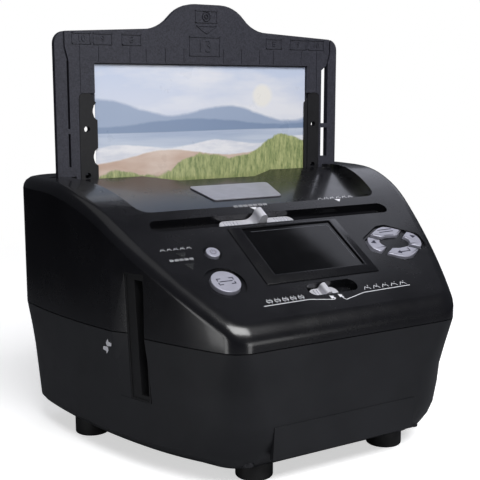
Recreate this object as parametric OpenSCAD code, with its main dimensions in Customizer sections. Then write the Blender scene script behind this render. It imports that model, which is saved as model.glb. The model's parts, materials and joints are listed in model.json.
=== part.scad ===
// Desktop scanner for prints, slides and negatives.
// X runs to the right, Y to the rear and Z up; the origin is on the table under the middle of the case.

/* [Case] */
// Greatest width of the case, near its rear
body_w = 215; // [205:1:260]
// Width of the case along its front, before the corners are rounded
front_w = 128; // [120:1:150]
// Depth of the case from front to rear
body_d = 169; // [160:1:210]
// Height of the flat top
body_h = 136; // [130:1:170]
// Height of the joint between the upper and lower case
seam_h = 68; // [64:1:72]
// How far the widest place lies in front of the rear wall
widest_in = 8; // [4:1:20]
// Radius of the front corners seen from above
front_r = 14; // [8:1:18]
// Radius of the front corners low on the lower case
chin_r = 28; // [20:1:30]
// Radius of the rear corners seen from above
back_r = 22; // [14:1:26]
// Radius that rounds the top edges
edge_r = 6; // [2:0.5:6]
// Thickness of the moulded walls
wall = 2.5; // [2:0.1:3]
// Height of the belly above the table
belly_h = 7.5; // [6:0.5:10]
// Open line between the two cases
reveal = 0.5; // [0.3:0.1:0.8]
// Width of the apron under the front wall
apron_w = 84; // [60:1:90]
// Height of the apron's lower edge
apron_h = 13.5; // [12:0.5:18]

/* [Deck] */
// Height of the sloping deck at its front edge
deck_front_h = 77.5; // [74:0.5:82]
// Slope of the deck
deck_angle = 30.5; // [28:0.5:32]
// Radius of the crest between deck and flat top
crest_r = 110; // [80:5:120]
// Depth of the scoop in front of the tray slot, at its front edge
scoop_depth = 3.6; // [2:0.2:4.5]
// Place of the scoop's front edge, up the deck
scoop_t = 89; // [87:0.5:92]
// Width of the scoop at its front edge
scoop_front_w = 147; // [140:1:158]
// Width of the scoop at the tray slot
scoop_back_w = 178; // [170:1:180]
// Width of the finger dip in the scoop's lip
dip_w = 86; // [60:1:110]
// Depth of the finger dip, from the slot forwards
dip_d = 10; // [6:1:14]

/* [Display] */
// Width of the display's cover glass
glass_w = 54; // [44:1:56]
// Height of the display's cover glass
glass_h = 35.4; // [28:0.2:36]
// Width of the sloping frame round the glass
bezel_w = 6.4; // [4:0.2:7]
// Height of the frame above the deck
bezel_h = 1.6; // [1:0.1:2.2]
// Place of the display's middle, up the deck
display_t = 51; // [50:0.5:52]

/* [Buttons] */
// Radius of the scan button
scan_r = 7.3; // [6:0.1:8]
// Radius of the power button
power_r = 3.5; // [3:0.1:4.5]
// Height of the round buttons above the bottom of their recess
cap_h = 1.9; // [1.8:0.1:3]
// Height of the keys above the bottom of their recess
key_h = 1.5; // [1.4:0.1:2.6]
// Travel of every button
travel = 1; // [0.6:0.1:1.1]
// Place of the scan button across and up the deck
scan_at = [-53.5, 33.5];
// Place of the power button across and up the deck
power_at = [-50, 54.5];
// Distance of the key cluster's middle inside the case's side
keys_in = 26; // [25:0.5:30]
// Place of the key cluster up the deck
keys_t = 48.4; // [46:0.2:50]
// Half width of the key cluster
keys_a = 18; // [15:0.5:18.2]
// Half height of the key cluster
keys_b = 12.9; // [10:0.1:13.5]
// Gap between two keys
key_gap = 2.8; // [1.8:0.1:3]
// Side of the triangular indicator windows
lamp_side = 5; // [4:0.2:6]

/* [Levers] */
// Overall length of the mode lever's trough
mode_trough_l = 146; // [140:1:150]
// Width of both troughs
trough_w = 8.4; // [7:0.2:9]
// Place of the mode lever's trough, up the deck
mode_t = 77.8; // [77:0.2:79]
// Place of the mode lever at the film end of its travel
mode_x = -10.6; // [-14:0.2:-8]
// Travel of the mode lever, film to print
mode_travel = 55; // [50:1:56]
// Length of the mode lever's foot
mode_foot_l = 45; // [30:1:48]
// Height of the mode lever's fin above its foot
mode_fin_h = 8; // [6:0.2:10]
// Overall length of the focus lever's trough
focus_trough_l = 29; // [28:1:34]
// Place of the focus lever's trough, up the deck
focus_t = 21.6; // [21:0.2:22.4]
// Place of the focus lever at the film end of its travel
focus_x = -3.4; // [-4:0.2:-3]
// Travel of the focus lever
focus_travel = 6; // [4:0.5:6.5]
// Travel of the lens for each millimetre of the lever
focus_ratio = 0.3; // [0.2:0.05:0.4]

/* [Tray] */
// Width of the print tray
tray_w = 183; // [150:1:186]
// Height of the tray from its lower edge to its shoulders
tray_h = 122; // [110:1:126]
// Height of the finger hump above the shoulders
hump_h = 17.4; // [10:0.2:22]
// Width of the finger hump
hump_w = 80; // [60:1:100]
// Thickness of the tray's back plate
tray_plate = 1.8; // [1.5:0.1:2.2]
// Height of the ribs on the tray's front
tray_rib = 1.9; // [1.6:0.1:2.4]
// How far the tray stands above its lowest place
tray_lift = 74.5; // [0:0.5:100]
// Width of the print
print_w = 138; // [110:0.5:140]
// Height of the print
print_h = 101.6; // [88.9:0.1:101.6]
// Height of the ledge under the print
print_ledge = 3.5; // [3:0.5:6]
// Width of the two strips that hold the print's edges
clip_w = 8.2; // [7:0.2:8.4]
// Height of the strips
clip_h = 90; // [88:1:100]
// Width of the spring slot beside the left rail
left_gap = 1.2; // [1:0.1:2]
// Width of the spring slot beside the right rail
right_gap = 4.8; // [3:0.1:5]

/* [Film path] */
// Distance of the film plane behind the front wall
film_in = 52; // [50:0.5:53]
// Height of the middle of the film slot
film_z = 67; // [66:0.5:68]
// Width of the film slot
film_w = 5.4; // [5:0.2:5.8]
// Height of the film slot
film_h = 56; // [40:1:56]
// Distance of the middle of the film port behind the front wall
port_in = 54.4; // [53:0.2:55]
// Width of the film port along the case's side
port_w = 13.4; // [12:0.2:15]
// Height of the film port
port_h = 62.4; // [60:0.2:65]
// Turn of the film port's face from the case's length
port_angle = 17.3; // [15:0.1:19]
// Lean of the film port's face, its top outwards
port_lean = 2.9; // [0:0.1:4]
// Depth of the film port's face under the case's side
port_sink = 2.8; // [2:0.1:3.4]
// Length of the slope behind the film port
port_slope = 7.2; // [5:0.2:9]
// Depth of the film port's block
port_deep = 7; // [6:0.5:8]

/* [Inside] */
// Radius of the lens barrel
barrel_r = 6.5; // [5.5:0.1:7]
// Radius of the rod that the backlight slides on
rod_r = 2; // [1.5:0.1:2.5]
// Radius of the rubber feet
foot_r = 9.1; // [7:0.1:10]
// Radius of the case screws
screw_r = 1.5; // [1.2:0.1:2]

/* [Hidden] */
$fn = 48;

// Clearances: moving pieces, seated pieces and running fits
slide_gap = 0.4;
seat_gap = 0.15;
run_gap = 0.06;

// Plan of the case
y_front = -body_d / 2;
y_back = body_d / 2;
y_wide = y_back - widest_in;
side_drop = (body_w - front_w) / 2;
side_r = (pow(y_wide - y_front, 2) + pow(side_drop, 2)) / (2 * side_drop);
side_x = body_w / 2 - side_r;
corner_n = 8;
side_n = 24;

// Profile of the case
y_meet = y_front + (body_h - deck_front_h) / tan(deck_angle);
y_top = y_meet + crest_r * tan(deck_angle / 2);
y_crest = y_meet - crest_r * tan(deck_angle / 2) * cos(deck_angle);
roof = wall / cos(deck_angle);

// Lower case: inset and height of each level, and how far its rim rises to the front
flare = 4.6;
rim_h = 15;
rim_rise = 11;
rim_from = 60;
chin_z = 32;
belly_in = [12.4, 7.4, 3.9, 1.5];
belly_share = [0, 0.25, 0.6, 1];
belly_raise = [1, 0.75, 0.4, 0];

// Deck furniture
recess = 1;
recess_rim = 3;
trough_deep = 5.2;
trough_floor = 1.5;
flange_u = -wall - 0.3;
flange_t = 0.8;
plunger_r = 1.6;
board_u = flange_u - 3.8;
board_t = 1.4;
bezel_low = 5;
bezel_top = 2.6;
bezel_wall = 1.2;
glass_u = -0.5;
glass_t = 1.3;
lcd_t = 4;
foot_t = 1.3;
foot_u = 0.3 - trough_deep;
lamps_at = [[-66, 55.5], [-65.2, 47.5]];
key_hole_a = 9.8;
key_hole_b = 5.2;
separators = [33, 153, 211, 330];

// Tray
tray_y = y_back - 28;
guide_z = 14;
guide_floor = 1;
guide_wall = 3;
guide_grip = 3.5;
guide_top = body_h - 2 * wall;
tray_z = guide_z + guide_floor + 0.5 + tray_lift;
tray_top = print_ledge + print_h + 1;
rail_w = 6.4;
slot_spare = 4;
print_t = 0.3;
clip_x = print_w / 2 + 1.4 + clip_w / 2;
clip_lip = 2.3;
pin_r = 1.6;
spring_z = [51, 107.5];
tab_z = 70;

// Film path and camera
film_y = y_front + film_in;
port_y = y_front + port_in;
gate_wall = 1.5;
gate_l = 76;
gate_window = [38, 26];
gate_top = film_z + film_h / 2 + 2;
lens_front_y = film_y - 14;
lens_r = barrel_r - 1.6;
housing_y = y_front + 10;
housing_d = 14;
barrel_y = housing_y + 4;
light_w = 42;
light_h = 34;
light_t = 7;
light_y = film_y + film_w / 2 + gate_wall + 2.5;
rod_u = -17;
rod_l = 94;
rod_x = 17;
carriage_l = 24;
carriage_w = 10;
stem_r = 1.9;
pin_u = -13.6;
lug_u = -13;

// Supports
screws_at = [[-50, y_front + 15], [50, y_front + 15], [-70, y_back - 13], [70, y_back - 13]];
post_r = 4;
screw_l = 24;
head_r = 2.9;
feet_at = [[-40, y_front + 25.4], [40, y_front + 25.4], [-83.5, y_back - 49], [83.5, y_back - 49]];
foot_sink = 2;
head_z = 12.4;
post_z = 30;
usb_at = [-22, 40];
card_at = [16, 40];
socket_y = y_back - 4.4;
socket_d = 9;
light_bar_at = [71, tray_y - 47];
light_bar_h = 88;

// Derived places shared by several modules
guide_x = tray_w / 2 - guide_grip;
guide_out = tray_w / 2 + slide_gap + guide_wall;
board_front = film_y + film_w / 2 + gate_wall + 1;
main_z = 13.5;
standoffs = [for (x = [-54, 54], y = [board_front + 6, tray_y - 18]) [x, y]];
keys_y = y_front + keys_t * cos(deck_angle);
keys_at = [side_x + sqrt(pow(side_r, 2) - pow(keys_y - y_wide, 2)) - keys_in, keys_t];
key_board_at = keys_at + [-1, 0];
board_posts = concat([[-69.5, 27.5], [-69.5, 61], [-43.5, 27.5], [-43.5, 61]],
    [for (x = [-16, 16], y = [-14.5, 14.5]) key_board_at + [x, y]]);
key_reach = [[13.7, 0.8], [0, 9], [-13.7, -0.8], [0, -9]];
hump_flat = 8;
hump_base = 2.8;
shoulder_r = 6.5;
groove_in = 5.2;
groove_deep = 1.2;
groove_z = [107, 114];
rod_y = y_front + mode_t * cos(deck_angle) - rod_u * sin(deck_angle);
rod_z = deck_front_h + mode_t * sin(deck_angle) + rod_u * cos(deck_angle);
arm_top = rod_z + 1;
focus_foot_l = 16.4;
web_top = deck_front_h + (focus_t + 3.4) * sin(deck_angle) + (lug_u + 0.8) * cos(deck_angle);
usb_w = 9;
usb_h = 4;
card_w = 27;
card_h = 3.6;

function arc(c, r, a0, a1, n) =
    [for (i = [0 : n]) c + r * [cos(a0 + (a1 - a0) * i / n), sin(a0 + (a1 - a0) * i / n)]];

// Half of the case's outline, from the front corner round to the rear one
function half_plan(inset, rf, rb) =
    let (
        r = side_r - inset,
        yf = y_front + inset + rf,
        yb = y_back - inset - rb,
        cf = [side_x + sqrt(pow(r - rf, 2) - pow(yf - y_wide, 2)), yf],
        cb = [side_x + sqrt(pow(r - rb, 2) - pow(yb - y_wide, 2)), yb],
        af = atan2(cf.y - y_wide, cf.x - side_x),
        ab = atan2(cb.y - y_wide, cb.x - side_x),
        side = arc([side_x, y_wide], r, af, ab, side_n)
    )
    concat(arc(cf, rf, -90, af, corner_n), [for (i = [1 : side_n - 1]) side[i]],
        arc(cb, rb, ab, 90, corner_n));

function plan(inset, rf, rb) =
    let (half = half_plan(inset, rf, rb))
    concat(half, [for (i = [len(half) - 1 : -1 : 0]) [-half[i].x, half[i].y]]);

// Half width of the case at a place along its side
function half_width(y) = side_x + sqrt(pow(side_r, 2) - pow(y - y_wide, 2));

// How far the lower case's side stands inside the upper one's at a height
function side_inset(z) =
    z > seam_h ? 0
    : z > chin_z + 22 ? flare * 0.5 * (seam_h - z) / (seam_h - chin_z - 22)
    : z > chin_z + 11 ? flare * (0.5 + 0.3 * (chin_z + 22 - z) / 11)
    : flare * (0.8 + 0.2 * (chin_z + 11 - z) / 11);

// Height of the case's top along its length
function top(y) =
    y < y_crest ? deck_front_h + (y - y_front) * tan(deck_angle)
    : y < y_top ? body_h - crest_r + sqrt(pow(crest_r, 2) - pow(y_top - y, 2))
    : body_h;

function level(inset, z, rf, rb) = [for (p = plan(inset, rf, rb)) [p.x, p.y, z]];

function wall_level(inset, z) = level(inset, z, front_r - inset, back_r - inset);

function roof_level(inset, drop) =
    [for (p = plan(inset, front_r - inset, back_r - inset)) [p.x, p.y, top(p.y) - drop]];

// Height of the lower rim, which rises towards the front corners
function rim(y) = rim_h + rim_rise * pow(max(0, y_front + rim_from - y) / rim_from, 2);

function belly_level(inset, rf, share, raise) =
    [for (p = plan(inset, rf, max(4, back_r - inset)))
        [p.x, p.y, belly_h + share * (rim(p.y) - belly_h) + raise]];

// Rings of the lower case from the belly to the joint, t inside its outer surface
function lower_levels(t) = concat(
    [for (k = [0 : 3])
        belly_level(flare + belly_in[k] + t, chin_r - belly_in[k] + belly_in[3] - t,
            belly_share[k], t * belly_raise[k])],
    [level(flare + t, chin_z, chin_r - t, back_r - flare - t),
        level(flare * 0.8 + t, chin_z + 11, chin_r - t, back_r - flare * 0.8 - t),
        level(flare * 0.5 + t, chin_z + 22, (chin_r + front_r) / 2 - t, back_r - flare * 0.5 - t),
        wall_level(t, seam_h)]);

function unit(v) = v / norm(v);

function fillet(a, p, b, r, n) =
    let (
        u = unit(a - p),
        v = unit(b - p),
        half = acos(u * v) / 2,
        c = p + unit(u + v) * r / sin(half),
        t = p + u * r / tan(half),
        start = atan2(t.y - c.y, t.x - c.x)
    )
    arc(c, r, start, start + 180 - 2 * half, n);

// A convex outline, given anticlockwise, with its corners rounded
function rounded(p, r, n = 4) =
    let (m = len(p))
    [for (i = [0 : m - 1]) each fillet(p[(i + m - 1) % m], p[i], p[(i + 1) % m], r, n)];

function box_outline(w, h) = [[-w / 2, -h / 2], [w / 2, -h / 2], [w / 2, h / 2], [-w / 2, h / 2]];

function part_power(v, p) = sign(v) * pow(abs(v), 2 / p);

function oval(a, b, p, n = 40) =
    [for (i = [0 : n - 1]) [a * part_power(cos(360 * i / n), p), b * part_power(sin(360 * i / n), p)]];

// A solid through symmetric rings of points, listed from the bottom up
module loft(rings) {
    n = len(rings[0]);
    last = (len(rings) - 1) * n;
    points = [for (ring = rings) each ring];
    sides = [for (k = [0 : len(rings) - 2], i = [0 : n - 1])
        [k * n + i, (k + 1) * n + i, (k + 1) * n + (i + 1) % n, k * n + (i + 1) % n]];
    bottom = [for (i = [0 : n / 2 - 2]) [i, i + 1, n - 2 - i, n - 1 - i]];
    lid = [for (i = [0 : n / 2 - 2]) [last + n - 1 - i, last + n - 2 - i, last + i + 1, last + i]];
    polyhedron(points, concat(sides, bottom, lid), convexity = 6);
}

module on_deck(at, u = 0) {
    translate([at.x, y_front + at.y * cos(deck_angle), deck_front_h + at.y * sin(deck_angle)])
        rotate([deck_angle, 0, 0])
            translate([0, 0, u])
                children();
}

module on_side(side) {
    if (side > 0)
        children();
    else
        mirror([1, 0, 0])
            children();
}

module at_port(side) {
    on_side(side)
        translate([half_width(port_y) - port_sink, port_y, film_z])
            rotate([0, 0, -port_angle])
                rotate([0, port_lean, 0])
                    children();
}

module block(size) {
    translate([-size.x / 2, -size.y / 2, 0])
        cube(size);
}

module stadium(l, w, h) {
    linear_extrude(h) {
        square([l - w, w], center = true);
        for (s = [-1, 1])
            translate([s * (l - w) / 2, 0])
                circle(w / 2);
    }
}

module plate(outline, h) {
    linear_extrude(h)
        polygon(outline);
}

// ---------- Case ----------

module upper_outside() {
    loft(concat([wall_level(0, seam_h + reveal)],
        [for (a = [0 : 22.5 : 90]) roof_level(edge_r * (1 - cos(a)), edge_r * (1 - sin(a)))]));
}

module upper_inside() {
    loft([wall_level(wall, seam_h - 2), roof_level(wall, roof + 1.5), roof_level(wall + 1.5, roof)]);
}

// The step in both walls that keeps light and dust out at the joint
module joint_step(inset, z) {
    loft([wall_level(inset, seam_h - 1), wall_level(inset, z)]);
}

module scoop(grow, lower) {
    y0 = y_front + scoop_t * cos(deck_angle);
    z0 = top(y0) - scoop_depth;
    y1 = tray_y - tray_rib;
    angle = atan2(body_h - 1.6 - z0, y1 - y0);
    a = scoop_front_w / 2 + grow;
    b = scoop_back_w / 2 + grow;
    intersection() {
        translate([0, 0, deck_front_h])
            plate(rounded([[-a, y0 - grow], [a, y0 - grow], [b, y1 + grow], [-b, y1 + grow]], 8), 80);
        translate([-body_w / 2, y0, z0])
            rotate([angle, 0, 0])
                translate([0, -30, -lower])
                    cube([body_w, 130, 60]);
    }
}

module on_scoop() {
    y0 = y_front + scoop_t * cos(deck_angle);
    z0 = top(y0) - scoop_depth;
    translate([0, y0, z0])
        rotate([atan2(body_h - 1.6 - z0, tray_y - tray_rib - y0), 0, 0])
            children();
}

module finger_dip() {
    y1 = tray_y - tray_rib - slide_gap;
    translate([0, 0, body_h - 30])
        plate(rounded([[-dip_w / 2 + 18, y1 - dip_d], [dip_w / 2 - 18, y1 - dip_d],
            [dip_w / 2 + 2, y1 + 1.2], [-dip_w / 2 - 2, y1 + 1.2]], 1.1), 40);
}

module tray_slot() {
    w = tray_w + 2 * slot_spare;
    front = tray_y - tray_rib - slide_gap - 0.2;
    translate([-w / 2, front, seam_h + 20])
        cube([w, tray_y + tray_plate + slide_gap + 0.2 - front, 80]);
}

// The hole for the film port; behind makes it longer towards the back
module port_hole(grow, out, deep, behind = 0) {
    translate([-deep, -port_w / 2 - grow, -port_h / 2 - grow])
        cube([deep + out, port_w + behind + 2 * grow, port_h + 2 * grow]);
}

// Where the walls are thick round the film port
module port_zone(grow) {
    port_hole(2.5 + grow, 6, 5.5, port_slope);
}

// One level of the slope behind the film port: its inner and outer edge
function slope_level(z) =
    let (
        l = (z - film_z) * tan(port_lean),
        w = port_w / 2 + seat_gap - 0.2,
        x = half_width(port_y) - port_sink + l * cos(port_angle) + w * sin(port_angle),
        y = port_y - l * sin(port_angle) + w * cos(port_angle),
        y2 = port_y + (port_w / 2 + port_slope) * cos(port_angle),
        x2 = side_x + sqrt(pow(side_r - side_inset(z), 2) - pow(y2 - y_wide, 2)) + 0.03
    )
    [[x, y, z], [x + 12 * cos(port_angle), y - 12 * sin(port_angle), z], [x2 + 12, y2, z], [x2, y2, z]];

// The slopes that lead from the case's side down to the film port
module port_slopes() {
    z0 = film_z - port_h / 2 * cos(port_lean);
    for (side = [-1, 1]) {
        on_side(side)
            loft([for (z = [z0, chin_z + 11, chin_z + 22, seam_h, film_z + port_h / 2]) slope_level(z)]);
        at_port(side)
            translate([0, port_w / 2 + port_slope, -port_h / 2])
                rotate([90, 0, 0])
                    plate([[0, 0.2], [0, 0], [6, -18], [6, 0.2]], port_w + port_slope);
    }
}

module mode_slot(grow, top_u, deep) {
    on_deck([0, mode_t], -deep)
        stadium(mode_trough_l + 2 * grow, trough_w + 2 * grow, deep + top_u);
}

module focus_slot(grow, top_u, deep) {
    on_deck([0, focus_t], -deep)
        stadium(focus_trough_l + 2 * grow, trough_w + 2 * grow, deep + top_u);
}

module deck_cuts() {
    mode_slot(0, 9, trough_deep);
    focus_slot(0, 9, trough_deep);
    on_deck([mode_x + mode_travel / 2, mode_t], -9)
        stadium(mode_travel + 2 * stem_r + 2, 2 * stem_r + 1, 9);
    on_deck([focus_x + focus_travel / 2, focus_t], -9)
        stadium(focus_travel + 4, 3.4, 9);
    on_deck([0, display_t], -9)
        block([glass_w + 4 * seat_gap + 2 * bezel_wall, glass_h + 4 * seat_gap + 2 * bezel_wall, 20]);
    on_deck(scan_at, -recess)
        cylinder(r = scan_r + recess_rim, h = 9);
    on_deck(scan_at, -9)
        cylinder(r = scan_r + slide_gap, h = 18);
    on_deck(power_at, -recess)
        cylinder(r = power_r + 1.2, h = 9);
    on_deck(power_at, -9)
        cylinder(r = power_r + slide_gap, h = 18);
    on_deck(keys_at, -recess)
        plate(key_outline(1.9, 3.4), 9);
    for (k = [0 : 3])
        on_deck(keys_at, -9)
            key_shape(k, slide_gap, 18);
    for (at = lamps_at)
        on_deck(at, -9)
            lamp(0.1, 18);
}

module upper_case() {
    color([0.05, 0.05, 0.06])
        difference() {
            union() {
                difference() {
                    upper_outside();
                    difference() {
                        upper_inside();
                        for (side = [-1, 1])
                            at_port(side)
                                port_zone(0);
                        scoop(wall, wall);
                        mode_slot(wall, 0, trough_deep + trough_floor);
                        focus_slot(wall, 0, trough_deep + trough_floor);
                    }
                    difference() {
                        joint_step(wall / 2, seam_h + reveal + 3);
                        for (side = [-1, 1])
                            at_port(side)
                                port_zone(0);
                    }
                    for (side = [-1, 1])
                        at_port(side)
                            port_hole(seat_gap, 9, 20);
                    port_slopes();
                    scoop(0, 0);
                    finger_dip();
                    tray_slot();
                    deck_cuts();
                }
                for (at = screws_at)
                    translate([at.x, at.y, post_z])
                        cylinder(r = post_r, h = top(at.y) - roof + 0.2 - post_z);
                for (x = [rod_x - rod_l / 2, rod_x + rod_l / 2 - 4])
                    on_deck([x + 2, mode_t], rod_u - 5)
                        block([4, carriage_w, 4 - rod_u - trough_deep]);
                for (at = board_posts)
                    on_deck(at, board_u)
                        cylinder(r = 2, h = -board_u - 1.5);
            }
            for (at = screws_at)
                translate([at.x, at.y, post_z - 1])
                    cylinder(r = screw_r + 0.05, h = screw_l - post_z + head_z + 2);
            on_deck([rod_x - rod_l / 2 - 1, mode_t], rod_u)
                rotate([0, 90, 0])
                    cylinder(r = rod_r + 0.05, h = rod_l + 2);
        }
}

module lower_bosses() {
    for (at = feet_at)
        translate([at.x, at.y, 0])
            cylinder(r = foot_r + 2.2, h = belly_h + foot_sink + wall);
    for (at = screws_at)
        translate([at.x, at.y, 0])
            cylinder(r = post_r, h = post_z - 0.1);
    for (at = standoffs)
        translate([at.x, at.y, 0])
            cylinder(r = 3, h = main_z);
    for (side = [-1, 1]) {
        on_side(side)
            translate([guide_x, tray_y - 7, 0])
                cube([guide_out - guide_x + 1, 14, guide_z]);
        intersection() {
            at_port(side)
                port_zone(0);
            translate([-body_w, -body_d, 0])
                cube([2 * body_w, 2 * body_d, seam_h]);
        }
    }
    translate([usb_at.x, socket_y - socket_d + 1, usb_at.y - 4])
        block([13, 20, 8]);
    translate([card_at.x, socket_y - socket_d + 1, card_at.y - 4])
        block([31, 20, 8]);
}

module lower_case() {
    color([0.13, 0.13, 0.15])
        difference() {
            union() {
                difference() {
                    loft(lower_levels(0));
                    difference() {
                        loft(concat(lower_levels(wall), [wall_level(wall, seam_h + 1)]));
                        lower_bosses();
                    }
                }
                difference() {
                    joint_step(wall / 2 + seat_gap, seam_h + reveal + 2.8);
                    loft([wall_level(wall, seam_h - 2), wall_level(wall, seam_h + 9)]);
                    for (side = [-1, 1])
                        at_port(side)
                            port_zone(seat_gap);
                }
                apron();
                for (at = standoffs)
                    translate([at.x, at.y, main_z - 2])
                        cylinder(r = 1.2, h = 2 + board_t + 0.6);
            }
            for (side = [-1, 1])
                at_port(side)
                    port_hole(seat_gap, 9, 20);
            port_slopes();
            for (at = feet_at)
                translate([at.x, at.y, -1])
                    cylinder(r = foot_r + seat_gap, h = belly_h + foot_sink + 1);
            for (at = screws_at) {
                translate([at.x, at.y, -1])
                    cylinder(r = head_r + 0.3, h = head_z + 1);
                translate([at.x, at.y, -1])
                    cylinder(r = screw_r + 0.2, h = post_z + 9);
            }
            translate([usb_at.x, socket_y, usb_at.y - usb_h / 2 - seat_gap])
                block([usb_w + 2 * seat_gap, 40, usb_h + 2 * seat_gap]);
            translate([card_at.x, socket_y, card_at.y - card_h / 2 - seat_gap])
                block([card_w + 2 * seat_gap, 40, card_h + 2 * seat_gap]);
        }
}

// The apron closes the gap under the front wall
module apron() {
    y = y_front + flare;
    translate([-apron_w / 2, 0, 0])
        rotate([90, 0, 90])
            plate([[y + 0.05, chin_z - 2], [y + 1.4, apron_h], [y + 1.4 + wall, apron_h],
                [y + 1.4 + wall, chin_z - 2]], apron_w);
}

module badge_plate() {
    color([0.72, 0.72, 0.76])
        on_scoop()
            translate([0, 18.5, 0])
                plate(rounded([[-21.5, 0], [21.5, 0], [25.5, 22.5], [-25.5, 22.5]], 2), 0.8);
}

module rubber_feet() {
    color([0.04, 0.04, 0.04])
        for (at = feet_at)
            translate([at.x, at.y, 0])
                cylinder(r = foot_r, h = belly_h + foot_sink);
}

module case_screws() {
    color([0.5, 0.5, 0.52])
        for (at = screws_at)
            translate([at.x, at.y, head_z])
                difference() {
                    union() {
                        translate([0, 0, -2.2])
                            cylinder(r = head_r, h = 2.2);
                        translate([0, 0, -0.1])
                            cylinder(r = screw_r, h = screw_l + 0.1);
                    }
                    translate([0, 0, -3])
                        block([3.4, 0.8, 1.8]);
                    translate([0, 0, -3])
                        block([0.8, 3.4, 1.8]);
                }
}

// ---------- Display ----------

module display_bezel() {
    w = glass_w + 2 * bezel_w;
    h = glass_h + bezel_low + bezel_top;
    gw = glass_w + 2 * seat_gap;
    gh = glass_h + 2 * seat_gap;
    mid = (bezel_top - bezel_low) / 2;
    color([0.05, 0.05, 0.06])
        difference() {
            union() {
                on_deck([0, display_t + mid], 0.05)
                    intersection() {
                        translate([0, h / 2, 0])
                            rotate([90, 0, 0])
                                plate([[-w / 2, 0], [w / 2, 0], [w / 2, 0.4],
                                    [w / 2 - bezel_w + 1.4, bezel_h], [bezel_w - 1.4 - w / 2, bezel_h],
                                    [-w / 2, 0.4]], h);
                        translate([-w / 2, 0, 0])
                            rotate([90, 0, 90])
                                plate([[-h / 2, 0], [h / 2, 0], [h / 2, 0.4],
                                    [h / 2 - bezel_top + 1.2, bezel_h], [bezel_low - 1.2 - h / 2, bezel_h],
                                    [-h / 2, 0.4]], w);
                    }
                on_deck([0, display_t], -wall)
                    block([gw + 2 * bezel_wall, gh + 2 * bezel_wall, wall + 0.2]);
            }
            on_deck([0, display_t], -9)
                block([gw, gh, 20]);
        }
}

module display_glass() {
    color([0.1, 0.11, 0.13])
        on_deck([0, display_t], glass_u)
            block([glass_w, glass_h, glass_t]);
}

module lcd_module() {
    color([0.2, 0.2, 0.22])
        on_deck([0, display_t], glass_u - lcd_t)
            difference() {
                block([glass_w, glass_h, lcd_t]);
                translate([0, 0, lcd_t - 0.6])
                    block([glass_w - 5, glass_h - 5, 1]);
            }
}

// ---------- Buttons ----------

module lamp(grow, h) {
    r = lamp_side / sqrt(3) + 2 * grow;
    plate([for (a = [30, 150, 270]) r * [cos(a), sin(a)]], h);
}

module indicator_windows() {
    color([0.75, 0.8, 0.75])
        for (at = lamps_at)
            on_deck(at, -wall)
                lamp(0, wall + 0.2);
}

// Angular outline round all four keys
function key_outline(grow, r) =
    let (
        a = keys_a + grow,
        b = keys_b + grow,
        half = [[a, 0.32 * b], [0.14 * a, b], [-0.17 * a, 0.96 * b], [-0.92 * a, 0.36 * b]]
    )
    rounded(concat(half, [for (p = half) -p]), r);

// One quarter of the key cluster: 0 right, 1 top, 2 left, 3 bottom
module key_shape(k, grow, h) {
    a0 = separators[(k + 3) % 4] - (k == 0 ? 360 : 0);
    a1 = separators[k];
    mid = (a0 + a1) / 2;
    half = (a1 - a0) / 2;
    apex = (key_gap / 2 - grow) / sin(half) * [cos(mid), sin(mid)];
    difference() {
        intersection() {
            plate(key_outline(grow, 2.2), h);
            plate([apex, apex + 60 * [cos(a0), sin(a0)], apex + 90 * [cos(mid), sin(mid)],
                apex + 60 * [cos(a1), sin(a1)]], h);
        }
        translate([0, 0, -1])
            plate(oval(key_hole_a - grow, key_hole_b - grow, 2), h + 2);
    }
}

module key(k) {
    color([0.62, 0.61, 0.68])
        on_deck(keys_at, 0) {
            translate([0, 0, flange_u - 0.1])
                key_shape(k, 0, key_h - recess - flange_u + 0.1);
            translate([0, 0, flange_u - flange_t])
                key_shape(k, 0.9, flange_t);
            translate([key_reach[k].x, key_reach[k].y, flange_u - flange_t - 0.8])
                cylinder(r = plunger_r, h = 1);
        }
}

module right_key() {
    key(0);
}

module mode_key() {
    key(1);
}

module left_key() {
    key(2);
}

module enter_key() {
    key(3);
}

module round_button(at, r) {
    color([0.62, 0.61, 0.68])
        on_deck(at, 0) {
            translate([0, 0, flange_u - 0.1])
                cylinder(r = r, h = cap_h - recess - flange_u + 0.1);
            translate([0, 0, flange_u - flange_t])
                cylinder(r = r + 1.2, h = flange_t);
            translate([0, 0, flange_u - flange_t - 0.8])
                cylinder(r = plunger_r, h = 1);
        }
}

module scan_button() {
    round_button(scan_at, scan_r);
}

module power_button() {
    round_button(power_at, power_r);
}

module key_board(mid, size, switches) {
    color([0.1, 0.35, 0.2])
        union() {
            on_deck(mid, board_u - board_t)
                block([size.x, size.y, board_t]);
            for (at = switches)
                on_deck(at, board_u - 0.1) {
                    block([4.4, 4.4, 0.7]);
                    cylinder(r = 1.7, h = 1);
                }
        }
}

module key_board_left() {
    key_board([-56.5, 44], [30.5, 38], [scan_at, power_at]);
    color([0.9, 0.9, 0.85])
        for (at = lamps_at)
            on_deck(at, board_u)
                cylinder(r = 1.2, h = 2.6);
}

module key_board_right() {
    key_board(key_board_at, [36, 33], [for (r = key_reach) keys_at + r]);
}

// ---------- Levers ----------

function knob(w, h, f) = concat(arc([w + f, f], f, 270, 180, 8), arc([0, h - w], w, 0, 180, 12),
    arc([-w - f, f], f, 0, -90, 8), [[-w - f, -1], [w + f, -1]]);

module lever_top(l, w, knob_w, knob_h, flow, teeth) {
    width = w - 2 * slide_gap;
    stadium(l, width, foot_t);
    translate([0, width / 2 - 0.4, foot_t])
        rotate([90, 0, 0])
            plate(knob(knob_w, knob_h, flow), width - 0.8);
    for (s = [-1, 1], i = [0 : teeth - 1])
        translate([s * (l / 2 - 3.4 - 1.9 * i), 0, foot_t - 0.1])
            block([0.9, width - 2, 0.6]);
}

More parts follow.
